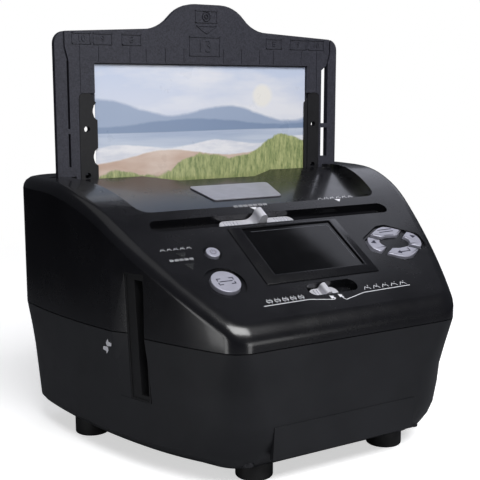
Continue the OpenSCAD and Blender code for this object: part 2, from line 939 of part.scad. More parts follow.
module mode_lever() {
    color([0.75, 0.75, 0.8])
        union() {
            on_deck([mode_x, mode_t], foot_u)
                lever_top(mode_foot_l, trough_w, 2.4, mode_fin_h, 5.2, 5);
            on_deck([mode_x, mode_t], rod_u + carriage_w / 2 - 2.5)
                cylinder(r = stem_r, h = foot_u - rod_u - carriage_w / 2 + 2.6);
        }
}

module backlight_carriage() {
    arm_y = light_y + light_t;
    color([0.2, 0.2, 0.22])
        difference() {
            union() {
                on_deck([mode_x, mode_t], rod_u - carriage_w / 2)
                    block([carriage_l, carriage_w, carriage_w]);
                translate([mode_x - 10, arm_y, film_z - 12])
                    cube([20, 3, arm_top - film_z + 12]);
                translate([mode_x - 10, arm_y, arm_top - 4])
                    cube([20, rod_y - arm_y, 4]);
            }
            on_deck([mode_x - 20, mode_t], rod_u)
                rotate([0, 90, 0])
                    cylinder(r = rod_r + run_gap, h = 40);
            on_deck([mode_x, mode_t], rod_u + carriage_w / 2 - 2.7)
                cylinder(r = stem_r + 0.08, h = 9);
        }
}

module film_backlight() {
    color([0.92, 0.92, 0.9])
        translate([-light_w / 2, light_y, film_z - light_h / 2])
            difference() {
                cube([light_w, light_t, light_h]);
                translate([2, -1, 2])
                    cube([light_w - 4, 1.6, light_h - 4]);
            }
}

module slider_rod() {
    color([0.75, 0.75, 0.78])
        on_deck([rod_x - rod_l / 2, mode_t], rod_u)
            rotate([0, 90, 0])
                cylinder(r = rod_r, h = rod_l);
}

module focus_lever() {
    color([0.75, 0.75, 0.8])
        union() {
            on_deck([focus_x, focus_t], foot_u)
                lever_top(focus_foot_l, trough_w, 1.8, 4, 2, 3);
            on_deck([focus_x, focus_t], pin_u)
                cylinder(r = 1.2, h = foot_u - pin_u + 0.1);
        }
}

// ---------- Camera ----------

module along_y(r, y0, y1) {
    translate([0, y0, film_z])
        rotate([-90, 0, 0])
            cylinder(r = r, h = y1 - y0);
}

module lens_barrel() {
    slope = atan(focus_ratio * cos(deck_angle));
    web_y = y_front + focus_t * cos(deck_angle) - pin_u * sin(deck_angle) + 2.4;
    color([0.08, 0.08, 0.09])
        difference() {
            union() {
                along_y(barrel_r, barrel_y, lens_front_y);
                on_deck([focus_x + focus_travel / 2, focus_t + 0.8], lug_u)
                    block([focus_travel + 11, 7, 1.6]);
                translate([focus_x + focus_travel / 2 - 3, web_y, film_z + barrel_r - 2])
                    cube([6, 2.6, web_top - film_z - barrel_r + 2]);
            }
            along_y(lens_r + seat_gap, lens_front_y - 4, lens_front_y + 1);
            along_y(3, barrel_y - 1, lens_front_y);
            on_deck([focus_x, focus_t], lug_u - 3)
                rotate([0, 0, -slope])
                    translate([focus_travel / 2 / cos(slope), 0, 0])
                        stadium(focus_travel / cos(slope) + 3, 3, 8);
        }
}

module lens_glass() {
    color([0.35, 0.4, 0.55])
        intersection() {
            along_y(lens_r, lens_front_y - 4, lens_front_y);
            translate([0, lens_front_y - 1 - 3 * lens_r, film_z])
                sphere(r = 3 * lens_r);
        }
}

module camera_housing() {
    w = 2 * barrel_r + 8;
    h = 2 * barrel_r + 2.6;
    color([0.16, 0.16, 0.18])
        difference() {
            union() {
                translate([0, housing_y + housing_d / 2, film_z - h / 2])
                    block([w, housing_d, h]);
                for (s = [-1, 1])
                    translate([s * (w / 2 - 1.5), housing_y + housing_d - 2, belly_h + wall])
                        block([3, 4, film_z - belly_h - wall]);
            }
            along_y(barrel_r + run_gap, housing_y - 1, housing_y + housing_d + 1);
        }
}

module camera_board() {
    color([0.1, 0.35, 0.2])
        union() {
            translate([-20, housing_y - 1.5, film_z - 20])
                cube([40, 1.5, 29]);
            translate([-4, housing_y - 0.1, film_z - 4])
                cube([8, 1.6, 8]);
        }
}

// ---------- Film path ----------

module film_port(side) {
    color([0.1, 0.1, 0.11])
        difference() {
            at_port(side)
                difference() {
                    port_hole(0, 0, port_deep);
                    translate([-0.4, -port_w / 2 + 0.9, -port_h / 2 + 0.9])
                        cube([2, port_w - 1.8, port_h - 1.8]);
                }
            translate([-body_w, film_y - film_w / 2, film_z - film_h / 2])
                cube([2 * body_w, film_w, film_h]);
        }
}

module film_port_left() {
    film_port(-1);
}

module film_port_right() {
    film_port(1);
}

module film_gate() {
    z0 = belly_h + wall;
    depth = film_w + 2 * gate_wall;
    color([0.15, 0.15, 0.16])
        difference() {
            translate([-gate_l / 2, film_y - depth / 2, z0])
                cube([gate_l, depth, gate_top - z0]);
            translate([-gate_l, film_y - film_w / 2, film_z - film_h / 2])
                cube([2 * gate_l, film_w, film_h]);
            translate([-gate_window.x / 2, film_y - depth, film_z - gate_window.y / 2])
                cube([gate_window.x, 2 * depth, gate_window.y]);
            translate([-gate_l / 2 + 6, film_y - depth, z0 - 1])
                cube([gate_l - 12, 2 * depth, film_z - film_h / 2 - 5 - z0]);
        }
}

// ---------- Tray ----------

module on_tray(y) {
    translate([0, tray_y + y, tray_z])
        rotate([90, 0, 0])
            children();
}

// Right edge of the tray's top, from the shoulder up over the hump
function tray_edge() =
    let (
        w = tray_w / 2,
        run = hump_w / 2 - hump_flat,
        turn = 2 * atan((hump_h - hump_base) / run),
        r = run / (2 * sin(turn)),
        foot = [hump_w / 2, tray_h + hump_base]
    )
    concat(fillet([w, 0], [w, tray_h], foot, shoulder_r, 6), [foot],
        arc([foot.x, foot.y + r], r, -90 - turn / 6, -90 - turn, 5),
        arc([hump_flat, tray_h + hump_h - r], r, 90 - turn * 5 / 6, 90, 5));

module tray_outline() {
    w = tray_w / 2;
    edge = tray_edge();
    polygon(concat([[-w + 1, 0], [w - 1, 0], [w, 1]], edge,
        [for (i = [len(edge) - 1 : -1 : 0]) [-edge[i].x, edge[i].y]], [[-w, 1]]));
}

module spring_slots() {
    for (side = [[-1, left_gap], [1, right_gap]]) {
        x0 = tray_w / 2 - rail_w - side.y;
        x1 = tray_w / 2 - rail_w;
        on_side(side.x)
            on_tray(9) {
                translate([x0, spring_z.x, 0])
                    cube([side.y, tab_z - 1.3 - spring_z.x, 18]);
                plate([[x0, tab_z + 1.3], [x1, tab_z + 1.3], [x1, spring_z.y],
                    [x0, spring_z.y - 0.8 * side.y]], 18);
            }
    }
}

// The grooves that lead from the top edge down to the spring slots
module tray_grooves() {
    x = tray_w / 2 - groove_in;
    for (side = [[-1, left_gap], [1, right_gap]]) {
        x1 = tray_w / 2 - rail_w - min(side.y, 1.4) / 2;
        on_side(side.x)
            on_tray(-tray_rib + groove_deep)
                plate([[x1 - 0.5, groove_z.x - 3], [x1 + 0.5, groove_z.x - 3], [x1 + 0.5, groove_z.x],
                    [x + 0.5, groove_z.y], [x + 0.5, tray_h + 9], [x - 0.5, tray_h + 9],
                    [x - 0.5, groove_z.y + 0.4], [x1 - 0.5, groove_z.x + 0.4]], 9);
    }
}

module tray_pins(r) {
    for (side = [-1, 1], z = [46, 71])
        on_side(side)
            on_tray(9)
                translate([clip_x, z, 0])
                    cylinder(r = r, h = 18);
}

module tray_bites() {
    for (z = [56, 80.5])
        on_tray(9)
            translate([-print_w / 2 + 3.4, z, 0])
                cylinder(r = 5.4, h = 18);
}

module photo_tray() {
    inner = print_w / 2 + 0.5;
    strip = clip_x + clip_w / 2 + 0.2;
    pocket_h = clip_h + 0.2;
    color([0.25, 0.25, 0.29])
        difference() {
            on_tray(tray_plate)
                linear_extrude(tray_plate + tray_rib)
                    tray_outline();
            on_tray(0)
                translate([-inner, print_ledge, 0])
                    cube([2 * inner, tray_top - print_ledge, 9]);
            on_tray(0)
                plate(concat([[-strip, print_ledge], [strip, print_ledge]],
                    fillet([strip, 0], [strip, pocket_h], [0, pocket_h], 2.8, 5),
                    fillet([0, pocket_h], [-strip, pocket_h], [-strip, 0], 2.8, 5)), 9);
            spring_slots();
            tray_grooves();
            tray_pins(pin_r);
            tray_bites();
        }
}

module tray_clip(side) {
    color([0.18, 0.18, 0.2])
        difference() {
            on_side(side)
                on_tray(0) {
                    translate([clip_x - clip_w / 2, print_ledge + 0.2, 0])
                        cube([clip_w, clip_h - 9, tray_rib]);
                    translate([clip_x - clip_w / 2, clip_h - 5, 0])
                        plate(concat([[0, -1], [clip_w, -1]], fillet([clip_w, 0], [clip_w, 5], [0, 5], 2.8, 5),
                            fillet([clip_w, 5], [0, 5], [0, 0], 2.8, 5)), tray_rib);
                    translate([clip_x - clip_w / 2 - clip_lip, print_ledge + 0.2, print_t + 0.2])
                        plate([[0, 0], [clip_lip + 1, 0], [clip_lip + 1, clip_h - 6],
                            [0, clip_h - 6 - clip_lip - 1]], 0.8);
                }
            tray_pins(pin_r);
            tray_bites();
        }
}

module tray_clip_left() {
    tray_clip(-1);
}

module tray_clip_right() {
    tray_clip(1);
}

module photo_print() {
    color([0.85, 0.87, 0.9])
        on_tray(0)
            translate([-print_w / 2, print_ledge + 0.3, 0])
                cube([print_w, print_h, print_t]);
}

module tray_guide(side) {
    front = tray_y - tray_rib - slide_gap;
    back = tray_y + tray_plate + slide_gap;
    color([0.14, 0.14, 0.15])
        on_side(side)
            difference() {
                translate([guide_x, front - 2, guide_z])
                    cube([guide_out - guide_x, back - front + 4, guide_top - guide_z]);
                translate([guide_x - 1, front, guide_z + guide_floor])
                    cube([tray_w / 2 + slide_gap - guide_x + 1, back - front, body_h]);
            }
}

module tray_guide_left() {
    tray_guide(-1);
}

module tray_guide_right() {
    tray_guide(1);
}

// ---------- Lights and boards ----------

module photo_light(side) {
    z0 = belly_h + wall;
    color([0.9, 0.9, 0.88])
        on_side(side)
            translate([light_bar_at.x, light_bar_at.y, z0]) {
                block([10, 5, light_bar_h]);
                block([10, 12, 2]);
                for (i = [0 : 5])
                    translate([0, 2.9, 16 + 12 * i])
                        block([4, 1.2, 4]);
            }
}

module photo_light_left() {
    photo_light(-1);
}

module photo_light_right() {
    photo_light(1);
}

module main_board() {
    l = tray_y - 12 - board_front;
    color([0.1, 0.35, 0.2])
        difference() {
            union() {
                translate([0, board_front + l / 2, main_z])
                    block([120, l, board_t]);
                translate([0, board_front + l / 2, main_z + 1])
                    block([18, 18, 2.2]);
                for (x = [-34, 30])
                    translate([x, board_front + l / 2 + 8, main_z + 1])
                        block([12, 9, 2]);
                for (x = [-20, 24])
                    translate([x, board_front + l - 6, main_z + 1])
                        block([16, 5, 5]);
            }
            for (at = standoffs)
                translate([at.x, at.y, main_z - 1])
                    cylinder(r = 1.35, h = 4);
        }
}

module usb_socket() {
    color([0.7, 0.7, 0.72])
        translate([usb_at.x, socket_y - socket_d / 2, usb_at.y - usb_h / 2])
            union() {
                difference() {
                    block([usb_w, socket_d, usb_h]);
                    translate([0, 1, 0.5])
                        block([usb_w - 1, socket_d, usb_h - 1]);
                }
                translate([0, 0, usb_h / 2 - 0.4])
                    block([usb_w - 3, socket_d - 1, 0.8]);
            }
}

module card_slot() {
    color([0.6, 0.6, 0.62])
        translate([card_at.x, socket_y - socket_d / 2, card_at.y - card_h / 2])
            difference() {
                block([card_w, socket_d, card_h]);
                translate([0, 1, 0.5])
                    block([card_w - 2, socket_d, card_h - 1]);
            }
}

lower_case();
upper_case();
badge_plate();
display_bezel();
display_glass();
lcd_module();
indicator_windows();
scan_button();
power_button();
mode_key();
enter_key();
left_key();
right_key();
key_board_left();
key_board_right();
mode_lever();
backlight_carriage();
film_backlight();
slider_rod();
focus_lever();
lens_barrel();
lens_glass();
camera_housing();
camera_board();
film_port_left();
film_port_right();
film_gate();
tray_guide_left();
tray_guide_right();
photo_tray();
tray_clip_left();
tray_clip_right();
photo_print();
photo_light_left();
photo_light_right();
main_board();
usb_socket();
card_slot();
case_screws();
rubber_feet();
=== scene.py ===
"""The scanner's looks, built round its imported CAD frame. Metres, Z up, front towards -Y."""

import json
import math

import bmesh
import bpy
from mathutils import Matrix, Vector


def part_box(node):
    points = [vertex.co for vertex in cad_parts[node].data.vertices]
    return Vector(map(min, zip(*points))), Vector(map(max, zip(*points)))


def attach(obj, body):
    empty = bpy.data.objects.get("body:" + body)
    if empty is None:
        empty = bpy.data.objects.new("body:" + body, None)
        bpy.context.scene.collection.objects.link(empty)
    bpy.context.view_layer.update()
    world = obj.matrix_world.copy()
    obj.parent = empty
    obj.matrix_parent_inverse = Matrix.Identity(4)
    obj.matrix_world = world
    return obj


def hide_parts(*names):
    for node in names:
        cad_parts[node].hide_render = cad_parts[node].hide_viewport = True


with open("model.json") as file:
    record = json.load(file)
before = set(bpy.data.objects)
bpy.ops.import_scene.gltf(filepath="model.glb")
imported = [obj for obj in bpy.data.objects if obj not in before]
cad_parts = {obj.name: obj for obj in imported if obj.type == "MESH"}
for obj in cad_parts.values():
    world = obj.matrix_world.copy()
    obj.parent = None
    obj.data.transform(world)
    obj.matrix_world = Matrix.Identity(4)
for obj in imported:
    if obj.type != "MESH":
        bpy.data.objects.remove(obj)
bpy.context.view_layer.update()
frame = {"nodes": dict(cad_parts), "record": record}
scene = bpy.context.scene
scene.view_settings.view_transform = "Standard"
MM = 0.001

# ---------- Places that part.scad also uses, in millimetres ----------

DECK_ANGLE = math.radians(30.5)
DECK_FRONT_Y = -84.5
DECK_FRONT_Z = 77.5
SIDE_X, SIDE_R, WIDEST_Y = -212.2, 319.7, 76.5
SEAM_Z = 68.0
SIDE_LEAN = 2.3 / 14.0
TRAY_FRONT_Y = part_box("photo_tray")[0][1] / MM
TRAY_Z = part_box("photo_tray")[0][2] / MM
PRINT_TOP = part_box("photo_print")[1][2] / MM
KEYS_X = (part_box("left_key")[0][0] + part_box("right_key")[1][0]) / 2 / MM
KEYS_T = 48.4
KEY_FACE = 0.5
SCAN_AT = (-53.5, 33.5)
POWER_AT = (-50.0, 54.5)
BUTTON_FACE = 0.9
DISPLAY_T = 51.0
GLASS_W, GLASS_H, GLASS_FACE = 54.0, 35.4, 0.8

# ---------- The photo's camera ----------

CAMERA_AT = (-0.265, -0.4148, 0.182)
CAMERA_YAW = -0.548
CAMERA_DOWN = 9.22
CAMERA_LENS, CAMERA_SENSOR = 69.5, 36.0


def deck_place(x=0.0, t=0.0, u=0.0):
    """Carries x, y, z in millimetres to a place x across and t up the deck, u above it."""
    c, s = math.cos(DECK_ANGLE), math.sin(DECK_ANGLE)
    at = Vector((x, DECK_FRONT_Y + t * c - u * s, DECK_FRONT_Z + t * s + u * c)) * MM
    return Matrix.Translation(at) @ Matrix.Rotation(DECK_ANGLE, 4, "X") @ Matrix.Scale(MM, 4)


def tray_place(out=0.0):
    """Carries x, height, depth in millimetres to the tray's front face."""
    at = Vector((0, TRAY_FRONT_Y - out, TRAY_Z)) * MM
    return Matrix.Translation(at) @ Matrix.Rotation(math.pi / 2, 4, "X") @ Matrix.Scale(MM, 4)


def left_side_place(y, z, out=0.0):
    """Carries x, y, z in millimetres to the lower case's left side, x towards the front."""
    turn = math.asin((WIDEST_Y - y) / SIDE_R)
    inset = SIDE_LEAN * (SEAM_Z - z)
    r = SIDE_R - inset + out
    at = Vector((-(SIDE_X + r * math.cos(turn)), WIDEST_Y - r * math.sin(turn), z)) * MM
    face = Matrix.Rotation(-math.pi / 2 + turn, 4, "Z") @ Matrix.Rotation(math.pi / 2, 4, "X")
    lean = Matrix.Rotation(math.atan(SIDE_LEAN), 4, "X")
    return Matrix.Translation(at) @ face @ lean @ Matrix.Scale(MM, 4)


# ---------- Camera, lights and floor ----------


def make_camera():
    """The camera that the photo was taken with, as fitted to it."""
    data = bpy.data.cameras.new("camera")
    data.lens = CAMERA_LENS
    data.sensor_width = CAMERA_SENSOR
    data.clip_start, data.clip_end = 0.02, 20.0
    cam = bpy.data.objects.new("camera", data)
    scene.collection.objects.link(cam)
    cam.location = CAMERA_AT
    cam.rotation_euler = (math.radians(90 - CAMERA_DOWN), 0.0, CAMERA_YAW)
    scene.camera = cam


def soft_box(name, place, target, size, brightness, tint=(1.0, 1.0, 1.0)):
    """A lit panel as bright as asked, whatever its size."""
    data = bpy.data.lights.new(name, "AREA")
    data.shape = "RECTANGLE"
    data.size, data.size_y = size
    data.energy = brightness * math.pi * size[0] * size[1]
    data.color = tint
    lamp = bpy.data.objects.new(name, data)
    lamp.location = place
    lamp.rotation_euler = (Vector(target) - Vector(place)).to_track_quat("-Z", "Y").to_euler()
    lamp.visible_camera = False
    scene.collection.objects.link(lamp)


def make_world():
    """White where the camera sees it, and a faint cool fill for everything else."""
    world = bpy.data.worlds.new("studio")
    world.use_nodes = True
    nodes, links = world.node_tree.nodes, world.node_tree.links
    seen = nodes["Background"]
    seen.inputs[0].default_value = (1, 1, 1, 1)
    fill = nodes.new("ShaderNodeBackground")
    fill.inputs[0].default_value = (0.62, 0.66, 0.76, 1)
    fill.inputs[1].default_value = 0.06
    path = nodes.new("ShaderNodeLightPath")
    mix = nodes.new("ShaderNodeMixShader")
    links.new(path.outputs["Is Camera Ray"], mix.inputs[0])
    links.new(fill.outputs[0], mix.inputs[1])
    links.new(seen.outputs[0], mix.inputs[2])
    links.new(mix.outputs[0], nodes["World Output"].inputs[0])
    scene.world = world


def make_floor():
    """A white table that fades into the backdrop; what it lights and mirrors stays dim."""
    mesh = bpy.data.meshes.new("floor")
    bm = bmesh.new()
    rim = [bm.verts.new((4.0 * math.cos(a), 4.0 * math.sin(a), 0.0))
           for a in (math.tau * i / 48 for i in range(48))]
    bm.faces.new(rim)
    bm.to_mesh(mesh)
    bm.free()
    floor = bpy.data.objects.new("floor", mesh)
    scene.collection.objects.link(floor)

    mat = bpy.data.materials.new("pale_floor")
    mat.use_nodes = True
    nodes, links = mat.node_tree.nodes, mat.node_tree.links
    nodes.remove(nodes["Principled BSDF"])

    def shader(kind, color, strength=None):
        node = nodes.new(kind)
        node.inputs[0].default_value = (*color, 1)
        if strength is not None:
            node.inputs["Strength"].default_value = strength
        return node.outputs[0]

    def mixed(fac, a, b):
        node = nodes.new("ShaderNodeMixShader")
        links.new(fac, node.inputs[0])
        links.new(a, node.inputs[1])
        links.new(b, node.inputs[2])
        return node.outputs[0]

    def far(start, end):
        node = nodes.new("ShaderNodeMapRange")
        node.inputs["From Min"].default_value = start
        node.inputs["From Max"].default_value = end
        links.new(distance.outputs["Value"], node.inputs[0])
        return node.outputs[0]

    coords = nodes.new("ShaderNodeTexCoord")
    distance = nodes.new("ShaderNodeVectorMath")
    distance.operation = "LENGTH"
    links.new(coords.outputs["Object"], distance.inputs[0])
    glow = shader("ShaderNodeEmission", (1, 1, 1), 0.58)
    add = nodes.new("ShaderNodeAddShader")
    links.new(glow, add.inputs[0])
    links.new(shader("ShaderNodeBsdfDiffuse", (0.85, 0.85, 0.86)), add.inputs[1])
    seen = mixed(far(0.3, 0.7), add.outputs[0], shader("ShaderNodeEmission", (1, 1, 1), 1.0))
    lit = mixed(far(0.22, 0.5), shader("ShaderNodeBsdfDiffuse", (0.2, 0.205, 0.22)),
                shader("ShaderNodeBsdfDiffuse", (0.03, 0.03, 0.035)))
    path = nodes.new("ShaderNodeLightPath")
    links.new(mixed(path.outputs["Is Camera Ray"], lit, seen), nodes["Material Output"].inputs[0])
    mesh.materials.append(mat)


make_camera()
make_world()
make_floor()
soft_box("high_front_box", (0.0, -0.78, 1.08), (0, 0, 0.13), (1.0, 0.6), 9.5)
soft_box("back_right_box", (0.68, 0.57, 0.74), (0, -0.04, 0.1), (0.7, 0.7), 0.8, (0.86, 0.88, 1))
soft_box("top_box", (-0.25, 0.15, 1.2), (0, 0, 0.1), (0.8, 0.8), 0.3)
soft_box("low_front_panel", (0.35, -1.1, 0.13), (0, 0.05, 0.15), (0.5, 0.25), 2.0)
soft_box("corner_left_panel", (-0.262, -0.133, 0.05), (-0.066, -0.08, 0.05), (0.045, 0.1), 3.2)
soft_box("corner_front_panel", (-0.011, -0.278, 0.045), (-0.058, -0.084, 0.05), (0.05, 0.09), 2.6)
soft_box("port_panel", (-0.336, -0.08, 0.06), (-0.1, -0.02, 0.06), (0.06, 0.12), 3.0)

# ---------- Materials ----------


class Recipe:
    """A node material whose sizes are in millimetres."""

    def __init__(self, name, color, rough, metal=0.0, **sockets):
        self.mat = bpy.data.materials.new(name)
        self.mat.use_nodes = True
        self.nodes, self.links = self.mat.node_tree.nodes, self.mat.node_tree.links
        self.shader = self.nodes["Principled BSDF"]
        self.shader.inputs["Base Color"].default_value = (*color, 1)
        self.shader.inputs["Roughness"].default_value = rough
        self.shader.inputs["Metallic"].default_value = metal
        for key, value in sockets.items():
            self.shader.inputs[key.replace("_", " ")].default_value = value
        self.color = color
        self.coords = self.nodes.new("ShaderNodeTexCoord").outputs["Object"]

    def noise(self, scale_mm, detail=3.0, rough=0.6, squeeze=None):
        """Soft noise with spots of about scale_mm, drawn out along an axis by squeeze."""
        node = self.nodes.new("ShaderNodeTexNoise")
        node.inputs["Scale"].default_value = 1.0 / (scale_mm * MM)
        node.inputs["Detail"].default_value = detail
        node.inputs["Roughness"].default_value = rough
        if squeeze:
            turn = self.nodes.new("ShaderNodeMapping")
            turn.inputs["Scale"].default_value = squeeze
            self.links.new(self.coords, turn.inputs[0])
            self.links.new(turn.outputs[0], node.inputs["Vector"])
        else:
            self.links.new(self.coords, node.inputs["Vector"])
        return node.outputs["Fac"]

    def ramp(self, value, *stops):
        """Colours between the stops, each a place from 0 to 1 and a colour."""
        node = self.nodes.new("ShaderNodeValToRGB")
        points = node.color_ramp.elements
        while len(points) < len(stops):
            points.new(0.5)
        for point, (place, color) in zip(points, stops):
            point.position = place
            point.color = (*color, 1)
        self.links.new(value, node.inputs[0])
        return node.outputs[0]

    def range(self, value, low, high, src=(0.3, 0.7)):
        """The value carried from src to low and high."""
        node = self.nodes.new("ShaderNodeMapRange")
        for key, number in zip(("From Min", "From Max", "To Min", "To Max"), (*src, low, high)):
            node.inputs[key].default_value = number
        self.links.new(value, node.inputs[0])
        return node.outputs[0]

    def vary(self, scale_mm, amount, lift=(1.0, 1.0, 1.0)):
        """Colour that drifts by that share of itself."""
        low = [c * (1 - amount) for c in self.color]
        high = [min(1.0, c * (1 + amount) * k) for c, k in zip(self.color, lift)]
        self.links.new(self.ramp(self.noise(scale_mm), (0.3, low), (0.7, high)),
                       self.shader.inputs["Base Color"])
        return self

    def smudge(self, scale_mm, low, high, squeeze=None):
        """Roughness that drifts, as on handled plastic."""
        self.links.new(self.range(self.noise(scale_mm, 5.0, 0.65, squeeze), low, high),
                       self.shader.inputs["Roughness"])
        return self

    def grain(self, scale_mm, height_mm, strength=1.0, detail=2.0, squeeze=None):
        """Fine relief, as from a spark-eroded mould."""
        bump = self.nodes.new("ShaderNodeBump")
        bump.inputs["Strength"].default_value = strength
        bump.inputs["Distance"].default_value = height_mm * MM
        self.links.new(self.noise(scale_mm, detail, 0.55, squeeze), bump.inputs["Height"])
        self.links.new(bump.outputs[0], self.shader.inputs["Normal"])
        return self


GLOSS = Recipe("gloss_black", (0.006, 0.006, 0.0075), 0.2, Specular_IOR_Level=0.5,
               Coat_Weight=0.3, Coat_Roughness=0.1)
GLOSS.vary(40, 0.25).smudge(22, 0.2, 0.3).grain(0.35, 0.002)
SATIN = Recipe("satin_black", (0.013, 0.0135, 0.016), 0.42, Specular_IOR_Level=0.5)
SATIN.vary(30, 0.2).smudge(18, 0.36, 0.46).grain(0.5, 0.015)
INNER = Recipe("inner_black", (0.005, 0.005, 0.006), 0.5)
INNER.vary(12, 0.25).smudge(8, 0.42, 0.55).grain(0.5, 0.01)
TRAY = Recipe("tray_charcoal", (0.03, 0.031, 0.044), 0.5)
TRAY.vary(0.9, 0.4, (1.1, 1.08, 1.05)).smudge(3, 0.42, 0.56).grain(0.42, 0.05)
CLIP = Recipe("clip_black", (0.008, 0.008, 0.010), 0.45)
CLIP.vary(1.2, 0.3).smudge(5, 0.4, 0.52).grain(0.5, 0.02)
SILVER = Recipe("satin_silver", (0.42, 0.42, 0.5), 0.35, 0.3)
SILVER.vary(6, 0.06).smudge(4, 0.3, 0.4).grain(0.25, 0.003)
BRIGHT = Recipe("lever_plating", (0.72, 0.72, 0.78), 0.22, 0.35)
BRIGHT.vary(6, 0.06).smudge(4, 0.18, 0.27).grain(0.25, 0.002)
BADGE = Recipe("badge_silver", (0.36, 0.36, 0.41), 0.4, 0.35)
BADGE.vary(5, 0.06).smudge(0.7, 0.34, 0.46, (0.06, 1, 1)).grain(0.3, 0.002, squeeze=(0.04, 1, 1))
GLASS = Recipe("display_glass", (0.003, 0.003, 0.0035), 0.05, Specular_IOR_Level=0.5)
GLASS.vary(20, 0.3).smudge(15, 0.05, 0.09)
LCD = Recipe("lcd_grey", (0.01, 0.01, 0.012), 0.4)
LCD.vary(3, 0.3).smudge(3, 0.35, 0.45)
WINDOW = Recipe("lamp_window", (0.022, 0.023, 0.024), 0.25, Coat_Weight=0.4)
WINDOW.vary(2, 0.2).smudge(2, 0.2, 0.3)
GREEN = Recipe("board_green", (0.012, 0.09, 0.035), 0.35)
GREEN.vary(4, 0.3).smudge(3, 0.28, 0.42).grain(1.2, 0.02)
STEEL = Recipe("ground_steel", (0.55, 0.55, 0.57), 0.22, 1.0)
STEEL.vary(4, 0.1).smudge(1, 0.16, 0.3, (0.1, 1, 1))
OPAL = Recipe("opal_white", (0.78, 0.78, 0.76), 0.4)
OPAL.vary(10, 0.04).smudge(6, 0.35, 0.45)
LENS = Recipe("coated_lens", (0.03, 0.035, 0.09), 0.04, Coat_Weight=0.6)
LENS.vary(2, 0.3).smudge(2, 0.03, 0.06)
PLATED = Recipe("socket_plate", (0.4, 0.4, 0.42), 0.3, 0.9)
PLATED.vary(2, 0.15).smudge(1.5, 0.24, 0.36)
SCREW = Recipe("screw_black", (0.06, 0.06, 0.065), 0.35, 0.8)
SCREW.vary(1, 0.3).smudge(1, 0.28, 0.42)
RUBBER = Recipe("foot_rubber", (0.006, 0.006, 0.0065), 0.6)
RUBBER.vary(4, 0.3).smudge(3, 0.5, 0.7).grain(0.3, 0.02)
WHITE_INK = Recipe("white_ink", (0.75, 0.75, 0.8), 0.45)
WHITE_INK.vary(1, 0.06).smudge(1, 0.4, 0.5)
NAVY_INK = Recipe("navy_ink", (0.012, 0.012, 0.03), 0.4)
NAVY_INK.vary(1, 0.2).smudge(1, 0.35, 0.45)
LILAC_INK = Recipe("lilac_ink", (0.16, 0.15, 0.2), 0.4)
LILAC_INK.vary(1, 0.1).smudge(1, 0.35, 0.45)
# Grey for a painted reflection: thin light lines on the display glass that stand in for the bezel's
# inner edges mirrored in it.
EDGE_REFLECTION_GREY = Recipe("painted_edge_reflection", (0.085, 0.088, 0.1), 0.3)
EDGE_REFLECTION_GREY.vary(6, 0.3).smudge(3, 0.25, 0.35)


